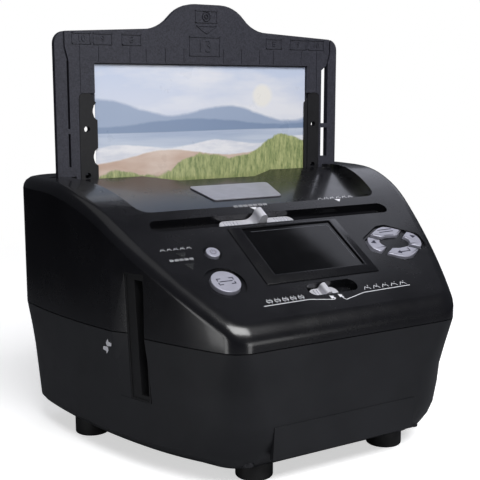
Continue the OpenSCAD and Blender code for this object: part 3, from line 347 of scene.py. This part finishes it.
class PrintPicture(Recipe):
    """The print's picture, a bright shore: pale sky, far hills, sea, sand and grass."""

    def __init__(self):
        super().__init__("photo_paper", (0.8, 0.82, 0.9), 0.3, Coat_Weight=0.2, Coat_Roughness=0.15)
        split = self.nodes.new("ShaderNodeSeparateXYZ")
        self.links.new(self.coords, split.inputs[0])
        self.across, self.up = split.outputs[0], split.outputs[2]

    def math(self, op, a, b=0.0, c=0.0):
        node = self.nodes.new("ShaderNodeMath")
        node.operation = op
        for socket, v in zip(node.inputs, (a, b, c)):
            if isinstance(v, (int, float)):
                socket.default_value = v
            else:
                self.links.new(v, socket)
        return node.outputs[0]

    def over(self, below, cover, above):
        """Lays one colour over another where cover is 1."""
        clamp = self.nodes.new("ShaderNodeClamp")
        self.links.new(cover, clamp.inputs[0])
        node = self.nodes.new("ShaderNodeMix")
        node.data_type = "RGBA"
        self.links.new(clamp.outputs[0], node.inputs[0])
        for socket, v in zip((node.inputs[6], node.inputs[7]), (below, above)):
            if isinstance(v, tuple):
                socket.default_value = (*v, 1)
            else:
                self.links.new(v, socket)
        return node.outputs[2]

    def under(self, drop_mm, swing_mm, wave_mm, phase, soft_mm, ripple_mm=2.0, tilt=0.0):
        """1 below a rolling line that lies drop_mm under the print's top edge."""
        wave = self.math("SINE", self.math("MULTIPLY_ADD", self.across,
                                           math.tau / (wave_mm * MM), phase))
        line = self.math("MULTIPLY_ADD", wave, swing_mm * MM, (PRINT_TOP - drop_mm) * MM)
        line = self.math("MULTIPLY_ADD", self.across, tilt, line)
        line = self.math("MULTIPLY_ADD", self.noise(14, 4.0), ripple_mm * MM, line)
        depth = self.math("DIVIDE", self.math("SUBTRACT", line, self.up), soft_mm * MM)
        return self.math("ADD", depth, 0.5)

    def blob(self, x_mm, drop_mm, r_mm, soft_mm):
        """1 inside a soft disc."""
        dx = self.math("SUBTRACT", self.across, x_mm * MM)
        dz = self.math("SUBTRACT", self.up, (PRINT_TOP - drop_mm) * MM)
        squares = self.math("ADD", self.math("POWER", dx, 2.0), self.math("POWER", dz, 2.0))
        inside = self.math("SUBTRACT", r_mm * MM, self.math("SQRT", squares))
        return self.math("ADD", self.math("DIVIDE", inside, soft_mm * MM), 0.5)

    def paint(self):
        """Lays the picture down from the sky at the back to the grass in front."""
        height = self.range(self.up, 0.0, 1.0, ((PRINT_TOP - 55) * MM, PRINT_TOP * MM))
        picture = self.ramp(height, (0.0, (0.8, 0.76, 0.8)), (0.45, (0.74, 0.77, 0.88)),
                            (1.0, (0.6, 0.68, 0.86)))
        cloud = self.range(self.noise(24, 4.0, 0.5, (0.4, 1, 1.3)), 0.0, 1.0, (0.45, 0.66))
        picture = self.over(picture, cloud, (0.86, 0.87, 0.93))
        picture = self.over(picture, self.blob(38, 17, 6.5, 2.5), (0.92, 0.9, 0.86))
        picture = self.over(picture, self.under(27, 3.5, 80, 0.4, 1.8, 3.0, -0.05), (0.36, 0.44, 0.6))
        picture = self.over(picture, self.under(33, 2.0, 120, 2.0, 1.2, 2.5), (0.24, 0.32, 0.48))
        sea = self.ramp(self.noise(9, 3.0, 0.5, (0.12, 1, 2.2)), (0.35, (0.42, 0.5, 0.66)),
                        (0.65, (0.62, 0.68, 0.8)))
        picture = self.over(picture, self.under(37, 0.3, 200, 0.0, 0.6, 0.2), sea)
        foam = self.noise(6, 4.0, 0.6, (0.4, 1, 1.4))
        surf = self.ramp(foam, (0.35, (0.74, 0.76, 0.84)), (0.6, (0.9, 0.9, 0.94)))
        picture = self.over(picture, self.under(45, 1.6, 60, 1.0, 0.9, 2.0, 0.02), surf)
        sand = self.ramp(self.noise(11, 3.0, 0.5, (0.5, 1, 1.6)), (0.3, (0.6, 0.42, 0.33)),
                         (0.7, (0.76, 0.62, 0.54)))
        picture = self.over(picture, self.under(50, 2.6, 90, 3.4, 0.9, 2.0, 0.03), sand)
        leaf = self.ramp(self.noise(3.2, 4.0, 0.7, (2.2, 1, 0.5)), (0.35, (0.2, 0.26, 0.1)),
                         (0.65, (0.52, 0.55, 0.26)))
        picture = self.over(picture, self.under(57, 4.0, 55, 2.2, 1.2, 9.0, 0.16), leaf)
        self.links.new(picture, self.shader.inputs["Base Color"])
        self.smudge(20, 0.26, 0.34)
        return self


PAPER = PrintPicture().paint()

# ---------- Mesh helpers ----------


def new_object(name, mesh, recipe, body):
    """A piece in its material, riding on its body."""
    obj = bpy.data.objects.new(name, mesh)
    scene.collection.objects.link(obj)
    mesh.materials.clear()
    mesh.materials.append(recipe.mat)
    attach(obj, body)
    return obj


def finish_edges(obj, width_mm, segments=2, angle=28):
    """Rounds the sharp edges and keeps flat faces flat."""
    for face in obj.data.polygons:
        face.use_smooth = True
    bevel = obj.modifiers.new("edge", "BEVEL")
    bevel.width = width_mm * MM
    bevel.segments = segments
    bevel.limit_method = "ANGLE"
    bevel.angle_limit = math.radians(angle)
    bevel.harden_normals = True
    bevel.use_clamp_overlap = True
    weigh = obj.modifiers.new("flat", "WEIGHTED_NORMAL")
    weigh.keep_sharp = True
    weigh.weight = 50


def refined(node, body, recipe, width_mm=0.3, segments=2, flat=0.4):
    """A merged copy of a CAD node with its edges rounded, which takes the node's place."""
    mesh = frame["nodes"][node].data.copy()
    bm = bmesh.new()
    bm.from_mesh(mesh)
    bmesh.ops.remove_doubles(bm, verts=bm.verts, dist=2e-6)
    bmesh.ops.dissolve_limit(bm, angle_limit=math.radians(flat), verts=bm.verts, edges=bm.edges)
    bm.to_mesh(mesh)
    bm.free()
    obj = new_object(node + "_finished", mesh, recipe, body)
    finish_edges(obj, width_mm, segments)
    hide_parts(node)
    return obj


def prism(name, loops, place, thick, recipe, body):
    """Thin raised shapes from loops of (x, y) points, carried to their place by a matrix."""
    bm = bmesh.new()
    for loop in loops:
        low = [bm.verts.new((x, y, 0.0)) for x, y in loop]
        high = [bm.verts.new((x, y, thick)) for x, y in loop]
        bm.faces.new(high)
        bm.faces.new(low[::-1])
        for i in range(len(loop)):
            j = (i + 1) % len(loop)
            bm.faces.new((low[i], low[j], high[j], high[i]))
    bmesh.ops.recalc_face_normals(bm, faces=bm.faces)
    mesh = bpy.data.meshes.new(name)
    bm.to_mesh(mesh)
    bm.free()
    mesh.transform(place)
    return new_object(name, mesh, recipe, body)


# ---------- Geometry Nodes ----------


class Tree:
    """A Geometry Nodes tree with named inputs."""

    def __init__(self, name, **inputs):
        self.group = bpy.data.node_groups.new(name, "GeometryNodeTree")
        face = self.group.interface
        face.new_socket("Geometry", in_out="INPUT", socket_type="NodeSocketGeometry")
        self.sockets = {}
        for key, kind in inputs.items():
            self.sockets[key] = face.new_socket(key, in_out="INPUT", socket_type="NodeSocket" + kind)
        face.new_socket("Geometry", in_out="OUTPUT", socket_type="NodeSocketGeometry")
        self.start = self.node("NodeGroupInput")
        self.end = self.node("NodeGroupOutput")

    def node(self, kind, **settings):
        node = self.group.nodes.new(kind)
        for key, value in settings.items():
            setattr(node, key, value)
        return node

    def link(self, a, b):
        self.group.links.new(a, b)

    def math(self, op, a, b):
        node = self.node("ShaderNodeMath", operation=op)
        for socket, v in zip(node.inputs, (a, b)):
            if isinstance(v, (int, float)):
                socket.default_value = v
            else:
                self.link(v, socket)
        return node.outputs[0]

    def vector(self, x, y, z):
        node = self.node("ShaderNodeCombineXYZ")
        for socket, v in zip(node.inputs, (x, y, z)):
            if isinstance(v, (int, float)):
                socket.default_value = v
            else:
                self.link(v, socket)
        return node.outputs[0]

    def close(self, instances):
        """Ends the tree with real geometry in its material."""
        real = self.node("GeometryNodeRealizeInstances")
        paint = self.node("GeometryNodeSetMaterial")
        self.link(instances, real.inputs[0])
        self.link(real.outputs[0], paint.inputs["Geometry"])
        self.link(self.start.outputs["Material"], paint.inputs["Material"])
        self.link(paint.outputs[0], self.end.inputs[0])

    def run(self, name, points, edges, place, recipe, body, slot, **values):
        """The tree's result on these points, as a plain mesh piece."""
        seed = bpy.data.meshes.new(name)
        seed.from_pydata(points, edges, [])
        work = bpy.data.objects.new(name + "_work", seed)
        scene.collection.objects.link(work)
        mod = work.modifiers.new("build", "NODES")
        mod.node_group = self.group
        for key, value in {"Material": recipe.mat, **values}.items():
            mod[self.sockets[key].identifier] = value
        depsgraph = bpy.context.evaluated_depsgraph_get()
        mesh = bpy.data.meshes.new_from_object(work.evaluated_get(depsgraph), depsgraph=depsgraph)
        bpy.data.objects.remove(work)
        mesh.name = name
        mesh.transform(place)
        return new_object(name, mesh, recipe, body)


def bar_tree():
    """One square bar along every edge, with its foot on the drawing plane."""
    tree = Tree("bars_on_lines", Width="Float", Height="Float", Material="Material")
    ends = tree.node("GeometryNodeInputMeshEdgeVertices")
    reach = tree.node("ShaderNodeVectorMath", operation="SUBTRACT")
    tree.link(ends.outputs["Position 2"], reach.inputs[0])
    tree.link(ends.outputs["Position 1"], reach.inputs[1])
    keep = tree.node("GeometryNodeCaptureAttribute", domain="EDGE")
    keep.capture_items.new("VECTOR", "Reach")
    tree.link(tree.start.outputs["Geometry"], keep.inputs["Geometry"])
    tree.link(reach.outputs[0], keep.inputs["Reach"])
    middles = tree.node("GeometryNodeMeshToPoints", mode="EDGES")
    tree.link(keep.outputs["Geometry"], middles.inputs["Mesh"])
    length = tree.node("ShaderNodeVectorMath", operation="LENGTH")
    tree.link(keep.outputs["Reach"], length.inputs[0])
    aim = tree.node("FunctionNodeAlignRotationToVector", axis="X", pivot_axis="Z")
    tree.link(keep.outputs["Reach"], aim.inputs["Vector"])
    width, height = tree.start.outputs["Width"], tree.start.outputs["Height"]
    bar = tree.node("GeometryNodeMeshCube")
    tree.link(tree.vector(1.0, width, height), bar.inputs["Size"])
    lift = tree.node("GeometryNodeTransform")
    tree.link(bar.outputs["Mesh"], lift.inputs["Geometry"])
    tree.link(tree.vector(0.0, 0.0, tree.math("MULTIPLY", height, 0.5)), lift.inputs["Translation"])
    copies = tree.node("GeometryNodeInstanceOnPoints")
    tree.link(middles.outputs["Points"], copies.inputs["Points"])
    tree.link(lift.outputs["Geometry"], copies.inputs["Instance"])
    tree.link(aim.outputs["Rotation"], copies.inputs["Rotation"])
    stretch = tree.math("ADD", length.outputs["Value"], width)
    tree.link(tree.vector(stretch, 1.0, 1.0), copies.inputs["Scale"])
    tree.close(copies.outputs["Instances"])
    return tree


def stud_tree():
    """One low round stud on every point."""
    tree = Tree("studs_on_points", Radius="Float", Height="Float", Sides="Int", Material="Material")
    spots = tree.node("GeometryNodeMeshToPoints", mode="VERTICES")
    tree.link(tree.start.outputs["Geometry"], spots.inputs["Mesh"])
    stud = tree.node("GeometryNodeMeshCylinder", fill_type="NGON")
    for key, socket in (("Sides", "Vertices"), ("Radius", "Radius"), ("Height", "Depth")):
        tree.link(tree.start.outputs[key], stud.inputs[socket])
    lift = tree.node("GeometryNodeTransform")
    tree.link(stud.outputs["Mesh"], lift.inputs["Geometry"])
    half = tree.math("MULTIPLY", tree.start.outputs["Height"], 0.5)
    tree.link(tree.vector(0.0, 0.0, half), lift.inputs["Translation"])
    copies = tree.node("GeometryNodeInstanceOnPoints")
    tree.link(spots.outputs["Points"], copies.inputs["Points"])
    tree.link(lift.outputs["Geometry"], copies.inputs["Instance"])
    tree.close(copies.outputs["Instances"])
    return tree


BARS = bar_tree()
STUDS = stud_tree()


class Drawing:
    """Lines, dots and filled shapes on a flat face, in millimetres."""

    def __init__(self):
        self.points, self.edges, self.dots, self.fills = [], [], [], []

    def line(self, *points):
        first = len(self.points)
        self.points += [(x, y, 0.0) for x, y in points]
        self.edges += [(first + i, first + i + 1) for i in range(len(points) - 1)]
        return self

    def box(self, x0, y0, x1, y1):
        return self.line((x0, y0), (x1, y0), (x1, y1), (x0, y1), (x0, y0))

    def arc(self, x, y, r, start=0, end=360, steps=20, squash=1.0):
        turns = (math.radians(start + (end - start) * i / steps) for i in range(steps + 1))
        return self.line(*[(x + r * math.cos(a), y + r * squash * math.sin(a)) for a in turns])

    def dot(self, *points):
        self.dots += [(x, y, 0.0) for x, y in points]
        return self

    def fill(self, *points):
        self.fills.append(list(points))
        return self

    def make(self, name, place, width, height, recipe, body, slot, dot_r=0.3, sides=4):
        if self.edges:
            BARS.run(name, self.points, self.edges, place, recipe, body, slot,
                     Width=width, Height=height)
        if self.dots:
            STUDS.run(name + "_dots", self.dots, [], place, recipe, body, slot,
                      Radius=dot_r, Height=height, Sides=sides)
        if self.fills:
            prism(name + "_fills", self.fills, place, height, recipe, body)


# ---------- CAD nodes ----------

BODIES = frame["record"]["behaviour"]["bodies"]
BODY_OF = {node: body for body, nodes in BODIES.items() for node in nodes}
SLOT_OF = {s["node"]: s["material_slot"] for s in frame["record"]["subparts"]}

FINISHES = {
    "upper_case": (GLOSS, 0.35, 2), "lower_case": (SATIN, 0.35, 2), "badge_plate": (BADGE, 0.2, 2),
    "display_bezel": (GLOSS, 0.3, 2), "display_glass": (GLASS, 0.15, 2),
    "indicator_windows": (WINDOW, 0.15, 2), "scan_button": (SILVER, 0.5, 3),
    "power_button": (SILVER, 0.5, 3), "mode_lever": (BRIGHT, 0.35, 3),
    "focus_lever": (BRIGHT, 0.3, 3), "film_port_left": (INNER, 0.25, 2),
    "film_port_right": (INNER, 0.25, 2), "photo_tray": (TRAY, 0.4, 2),
    "tray_clip_left": (CLIP, 0.3, 2), "tray_clip_right": (CLIP, 0.3, 2),
    "rubber_feet": (RUBBER, 0.8, 3), "usb_socket": (PLATED, 0.1, 2),
    "card_slot": (PLATED, 0.1, 2), "case_screws": (SCREW, 0.15, 2),
}
PLAIN = {
    "lcd_module": LCD, "key_board_left": GREEN, "key_board_right": GREEN, "backlight_carriage": INNER,
    "film_backlight": OPAL, "slider_rod": STEEL, "lens_barrel": INNER, "lens_glass": LENS,
    "camera_housing": INNER, "camera_board": GREEN, "film_gate": INNER, "tray_guide_left": INNER,
    "tray_guide_right": INNER, "photo_light_left": OPAL, "photo_light_right": OPAL,
    "main_board": GREEN, "photo_print": PAPER,
}
for node, (recipe, width, segments) in FINISHES.items():
    refined(node, BODY_OF[node], recipe, width, segments)
for node, recipe in PLAIN.items():
    materials = frame["nodes"][node].data.materials
    materials.clear()
    materials.append(recipe.mat)

# ---------- The four keys, quarters of one rounded outline ----------

# Half of the outline's corners; the other half is the same turned round. The splits are the
# angles of the gaps between the keys, in degrees.
KEY_HALF = [(18.0, 4.13), (2.52, 12.9), (-3.06, 12.38), (-16.56, 4.64)]
KEY_CORNER, KEY_CORNER_STEPS = 5.0, 6
KEY_RIM, KEY_RIM_STEPS = 0.7, 2
KEY_HOLE, HOLE_STEPS = (9.8, 5.2), 48
OUTER_STEPS, INNER_STEPS = 28, 14
KEY_SPLITS = (33, 153, 211, 330)
KEY_GAP = 2.8
FLANGE_U, FLANGE_T, FLANGE_GROW = -2.8, 0.8, 0.9
PLUNGER_R, PLUNGER_L, PLUNGER_SIDES = 1.6, 0.8, 16
PLUNGER_SUNK = 0.2
# From the flange up to the rounded face: how far in from the outline, and how high.
KEY_RINGS = [(-FLANGE_GROW, FLANGE_U - FLANGE_T), (-FLANGE_GROW, FLANGE_U), (0, FLANGE_U), (0, 0.0),
             (0.06, 0.2), (0.2, 0.36), (0.42, 0.46), (0.7, KEY_FACE)]
KEY_NAMES = ("right_key", "mode_key", "left_key", "enter_key")
# Where each key's plunger stands.
KEY_PLUNGERS = ((13.7, 0.8), (0, 9), (-13.7, -0.8), (0, -9))


def rounded_loop(points, cut, steps):
    """A closed outline whose corners are replaced by soft curves."""
    loop = []
    for i, p in enumerate(points):
        p, a, b = Vector(p), Vector(points[i - 1]), Vector(points[(i + 1) % len(points)])
        start = p + (a - p).normalized() * min(cut, (a - p).length * 0.48)
        end = p + (b - p).normalized() * min(cut, (b - p).length * 0.48)
        for j in range(steps + 1):
            f = j / steps
            loop.append(start * (1 - f) ** 2 + p * 2 * f * (1 - f) + end * f * f)
    return loop


def reach_at(loop, angle):
    """Distance from the middle to an outline, in the direction of an angle."""
    d = Vector((math.cos(angle), math.sin(angle)))
    best = 0.0
    for a, b in zip(loop, loop[1:] + loop[:1]):
        e = b - a
        cross = d.x * e.y - d.y * e.x
        if abs(cross) > 1e-9:
            s = (a.x * e.y - a.y * e.x) / cross
            f = (a.x * d.y - a.y * d.x) / cross
            if s > 0 and -1e-6 <= f <= 1 + 1e-6:
                best = max(best, s)
    return best


def meeting(loop, start, d):
    """Where a line from start in direction d leaves an outline."""
    low, high = 0.0, 40.0
    for _ in range(40):
        mid = (low + high) / 2
        p = start + d * mid
        if p.length < reach_at(loop, math.atan2(p.y, p.x)):
            low = mid
        else:
            high = mid
    return start + d * low


def key_outline(k):
    """One key's outline, from its first split round to its second and back along the hole."""
    corners = KEY_HALF + [(-x, -y) for x, y in KEY_HALF]
    outer = rounded_loop(corners, KEY_CORNER, KEY_CORNER_STEPS)
    hole = [Vector((KEY_HOLE[0] * math.cos(a), KEY_HOLE[1] * math.sin(a)))
            for a in (math.tau * i / HOLE_STEPS for i in range(HOLE_STEPS))]
    ends = []
    for split, side in ((KEY_SPLITS[k - 1], 1), (KEY_SPLITS[k], -1)):
        a = math.radians(split)
        d = Vector((math.cos(a), math.sin(a)))
        start = Vector((-d.y, d.x)) * side * KEY_GAP / 2
        ends.append((meeting(hole, start, d), meeting(outer, start, d)))

    def sweep(loop, p, q, steps):
        """The part of an outline that runs from p round to q."""
        a0, a1 = math.atan2(p.y, p.x), math.atan2(q.y, q.x)
        if a1 < a0:
            a1 += math.tau
        angles = [a0 + (a1 - a0) * i / steps for i in range(steps + 1)]
        return [Vector((math.cos(a), math.sin(a))) * reach_at(loop, a) for a in angles]

    (in0, out0), (in1, out1) = ends
    loop = sweep(outer, out0, out1, OUTER_STEPS) + sweep(hole, in0, in1, INNER_STEPS)[::-1]
    return rounded_loop(loop, KEY_RIM, KEY_RIM_STEPS)


def shrunk(loop, inset):
    """The outline moved inwards."""
    result = []
    for i, p in enumerate(loop):
        e = (loop[(i + 1) % len(loop)] - loop[i - 1]).normalized()
        result.append(p + Vector((-e.y, e.x)) * inset)
    return result


def make_key(k):
    """One key with its flange and plunger, which takes its CAD node's place."""
    node = KEY_NAMES[k]
    loop = key_outline(k)
    bm = bmesh.new()

    def stack(rings):
        """A closed solid through rings of points at rising heights."""
        levels = [[bm.verts.new((p.x, p.y, u)) for p in ring] for ring, u in rings]
        for low, high in zip(levels, levels[1:]):
            for i in range(len(low)):
                j = (i + 1) % len(low)
                bm.faces.new((low[i], low[j], high[j], high[i]))
        bm.faces.new(levels[0][::-1])
        bm.faces.new(levels[-1])

    stack([(shrunk(loop, inset), u) for inset, u in KEY_RINGS])
    at = Vector(KEY_PLUNGERS[k])
    circle = [at + Vector((math.cos(a), math.sin(a))) * PLUNGER_R
              for a in (math.tau * i / PLUNGER_SIDES for i in range(PLUNGER_SIDES))]
    low = FLANGE_U - FLANGE_T
    stack([(circle, low - PLUNGER_L), (circle, low + PLUNGER_SUNK)])
    bmesh.ops.recalc_face_normals(bm, faces=bm.faces)
    mesh = bpy.data.meshes.new(node + "_cap")
    bm.to_mesh(mesh)
    bm.free()
    mesh.transform(deck_place(KEYS_X, KEYS_T))
    obj = new_object(node + "_cap", mesh, SILVER, BODY_OF[node])
    for face in mesh.polygons:
        face.use_smooth = True
    weigh = obj.modifiers.new("flat", "WEIGHTED_NORMAL")
    weigh.weight = 50
    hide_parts(node)


for k in range(len(KEY_NAMES)):
    make_key(k)

# ---------- Printed marks on the deck ----------


def strip_sign(drawing, x, t, w, h):
    """A short length of film: a row of frames between two rows of holes."""
    frames = round(w / (h * 1.55))
    step = w / frames
    for i in range(frames):
        left = x + i * step
        drawing.box(left + 0.18 * step, t + 0.3 * h, left + 0.82 * step, t + 0.7 * h)
        for j in range(2):
            at = left + step * (0.3 + 0.4 * j)
            drawing.dot((at, t + 0.02 * h), (at, t + 0.98 * h))


def picture_sign(drawing, x, t, h, count):
    """A row of small pictures, each a hill over a base line with a sun above."""
    w = h * 1.5
    for i in range(count):
        left = x + i * w * 1.45
        drawing.line((left, t), (left + 0.35 * w, t + 0.75 * h), (left + 0.55 * w, t + 0.35 * h),
                     (left + 0.7 * w, t + 0.6 * h), (left + w, t))
        drawing.dot((left + 0.85 * w, t + 0.95 * h))


INK = 0.05
deck = deck_place()

lines = Drawing()
lines.line((-42.5, 15.1), (-17.2, 15.5), (-4.1, 13.2), (-3.0, 14.0))
lines.line((44.4, 15.7), (14.6, 15.0), (2.3, 12.1), (1.0, 13.6))
lines.fill((-5.4, 16.2), (-5.2, 13.7), (-4.4, 14.2), (-3.3, 13.4), (-2.8, 14.1), (-3.7, 14.8),
           (-3.1, 15.5))
lines.fill((-0.3, 16.4), (-0.1, 13.9), (0.6, 14.4), (1.6, 13.5), (2.1, 14.1), (1.3, 14.9),
           (2.0, 15.6))
lines.make("focus_leaders", deck, 0.35, INK, WHITE_INK, "case", "light_white")

signs = Drawing()
strip_sign(signs, -40.5, 16.4, 22.0, 2.7)
picture_sign(signs, 16.5, 16.8, 2.6, 5)
signs.make("focus_signs", deck, 0.26, INK, WHITE_INK, "case", "light_white", 0.26)

signs = Drawing()
strip_sign(signs, -21.0, 87.6, 21.0, 1.9)
picture_sign(signs, 33.5, 89.0, 1.9, 6)
signs.fill((-11.6, 86.9), (-9.6, 84.5), (-7.6, 86.9))
signs.fill((44.0, 88.3), (46.0, 85.9), (48.0, 88.3))
signs.make("mode_signs", deck, 0.2, INK, WHITE_INK, "case", "light_white", 0.18)

signs = Drawing()
picture_sign(signs, -75.5, 59.4, 1.6, 5)
strip_sign(signs, -74.2, 51.4, 13.0, 1.6)
signs.make("lamp_signs", deck, 0.2, INK, WHITE_INK, "case", "light_white", 0.16)

# ---------- Marks on the buttons and keys ----------

MARK, MARK_SUNK = 0.06, 0.01

mark = Drawing()
for sx in (-1, 1):
    for sy in (-1, 1):
        mark.line((sx * 2.4, sy * 2.0), (sx * 4.2, sy * 2.0), (sx * 4.2, sy * 0.7))
mark.line((-3.2, 0), (3.2, 0))
mark.make("scan_mark", deck_place(*SCAN_AT, BUTTON_FACE - MARK_SUNK), 0.5, MARK, NAVY_INK,
          "scan_key", "inner_black")

mark = Drawing().arc(0, 0, 1.45, 125, 415, 16).line((0, 0.3), (0, 1.7))
mark.make("power_mark", deck_place(*POWER_AT, BUTTON_FACE - MARK_SUNK), 0.4, MARK, LILAC_INK,
          "power_key", "inner_black")

key_faces = deck_place(KEYS_X, KEYS_T, KEY_FACE - MARK_SUNK)
mark = Drawing().fill((-15.9, 0.9), (-12.7, -0.1), (-12.6, 2.6))
mark.make("left_key_mark", key_faces, 0.4, MARK, NAVY_INK, "back_key", "inner_black")
mark = Drawing().fill((12.8, 3.8), (13.1, 1.1), (16.5, 2.6))
mark.make("right_key_mark", key_faces, 0.4, MARK, NAVY_INK, "next_key", "inner_black")
mark = Drawing()
for rise in (8.2, 10.0):
    mark.line((-4.8, rise), (4.4, rise + 0.3))
mark.make("mode_key_mark", key_faces, 0.6, MARK, NAVY_INK, "up_key", "inner_black")
mark = Drawing().line((4.2, -6.4), (4.2, -8.4), (-2.4, -8.6))
mark.fill((-4.6, -8.7), (-2.0, -7.3), (-2.0, -10.0))
mark.make("enter_key_mark", key_faces, 0.6, MARK, NAVY_INK, "down_key", "inner_black")

# ---------- Painted reflection: light lines in the display's cover glass, standing in for the bezel's inner edges mirrored there ---

inset = 2.2
right, top = GLASS_W / 2 - inset, GLASS_H / 2 - inset
# Painted reflection of the bezel's inner edges, drawn as thin grey bars along the glass's top and
# right.
reflection_line = Drawing().line((-GLASS_W / 2 + 5.0, top), (right - 1.2, top), (right, top - 1.2),
                            (right, -GLASS_H / 2 + 6.0))
reflection_line.make("display_edge_reflection", deck_place(0, DISPLAY_T, GLASS_FACE - MARK_SUNK), 0.28, 0.03,
                EDGE_REFLECTION_GREY, "case", "lcd_grey")

# ---------- Film sign beside the left port ----------

sign = Drawing()
sign.fill((-0.1, 0.2), (3.0, 0.5), (3.6, 2.2), (1.4, 2.7), (1.2, 4.0), (-0.6, 1.9))
sign.fill((0.1, -0.2), (-3.0, -0.5), (-3.6, -2.2), (-1.4, -2.7), (-1.2, -4.0), (0.6, -1.9))
sign.make("port_sign", left_side_place(-11.6, 59.6), 0.3, 0.08, WHITE_INK, "case", "light_white")

# ---------- Raised scale on the tray ----------

# Heights are measured from the table and then taken from the tray's foot.
EMBOSS = 0.35
SHOULDER = 211.5 - TRAY_Z
TICKS = (-66.7, -48.4, -38.7, -26.9, -15.2, 10.5, 22.7, 35.1, 45.0, 65.1)
LABELS = ((-82.0, -71.0, "10"), (-70.0, -58.7, "9"), (-53.4, -41.6, "8"), (39.3, 50.8, "8"),
          (56.5, 69.0, "9"), (69.6, 82.0, "10"))


def number_mesh(text, x, z, size):
    """A plain number as a flat raised mesh in the tray's own plane."""
    curve = bpy.data.curves.new("number", "FONT")
    curve.body = text
    curve.size = size
    curve.extrude = EMBOSS / 2
    curve.align_x, curve.align_y = "CENTER", "CENTER"
    curve.resolution_u = 4
    obj = bpy.data.objects.new("number", curve)
    scene.collection.objects.link(obj)
    depsgraph = bpy.context.evaluated_depsgraph_get()
    mesh = bpy.data.meshes.new_from_object(obj.evaluated_get(depsgraph), depsgraph=depsgraph)
    bpy.data.objects.remove(obj)
    mesh.transform(Matrix.Translation((x, z, EMBOSS / 2)))
    return mesh


def tray_numbers():
    """The numbers in the scale's boxes, joined into one piece."""
    bm = bmesh.new()
    for x0, x1, text in LABELS:
        bm.from_mesh(number_mesh(text, (x0 + x1) / 2, SHOULDER - 2.8, 4.8))
    bm.from_mesh(number_mesh("13", -2.0, 206.2 - TRAY_Z, 10.0))
    bmesh.ops.remove_doubles(bm, verts=bm.verts, dist=1e-4)
    bmesh.ops.recalc_face_normals(bm, faces=bm.faces)
    mesh = bpy.data.meshes.new("tray_numbers")
    bm.to_mesh(mesh)
    bm.free()
    mesh.transform(tray_place())
    return new_object("tray_numbers", mesh, TRAY, "tray")


scale = Drawing()
for x0, x1, _ in LABELS:
    scale.box(x0 + 0.4, SHOULDER - 5.5, x1 - 0.4, SHOULDER)
scale.box(-11.7, 201.0 - TRAY_Z, 7.8, 211.4 - TRAY_Z)
scale.box(-7.7, 219.5 - TRAY_Z, 6.0, 226.0 - TRAY_Z)
scale.arc(-0.9, 222.8 - TRAY_Z, 2.5, steps=18)
scale.arc(-0.9, 222.8 - TRAY_Z, 1.1, steps=10)
scale.line((-7.2, 217.6 - TRAY_Z), (5.4, 217.6 - TRAY_Z), (-0.9, 213.4 - TRAY_Z),
           (-7.2, 217.6 - TRAY_Z))
for x in TICKS:
    scale.line((x, 197.3 - TRAY_Z), (x, 204.5 - TRAY_Z))
for x in (-77.4, 76.6):
    scale.line((x, 181.0 - TRAY_Z), (x, 204.5 - TRAY_Z))
scale.make("tray_scale", tray_place(), 0.45, EMBOSS, TRAY, "tray", SLOT_OF["photo_tray"])
tray_numbers()
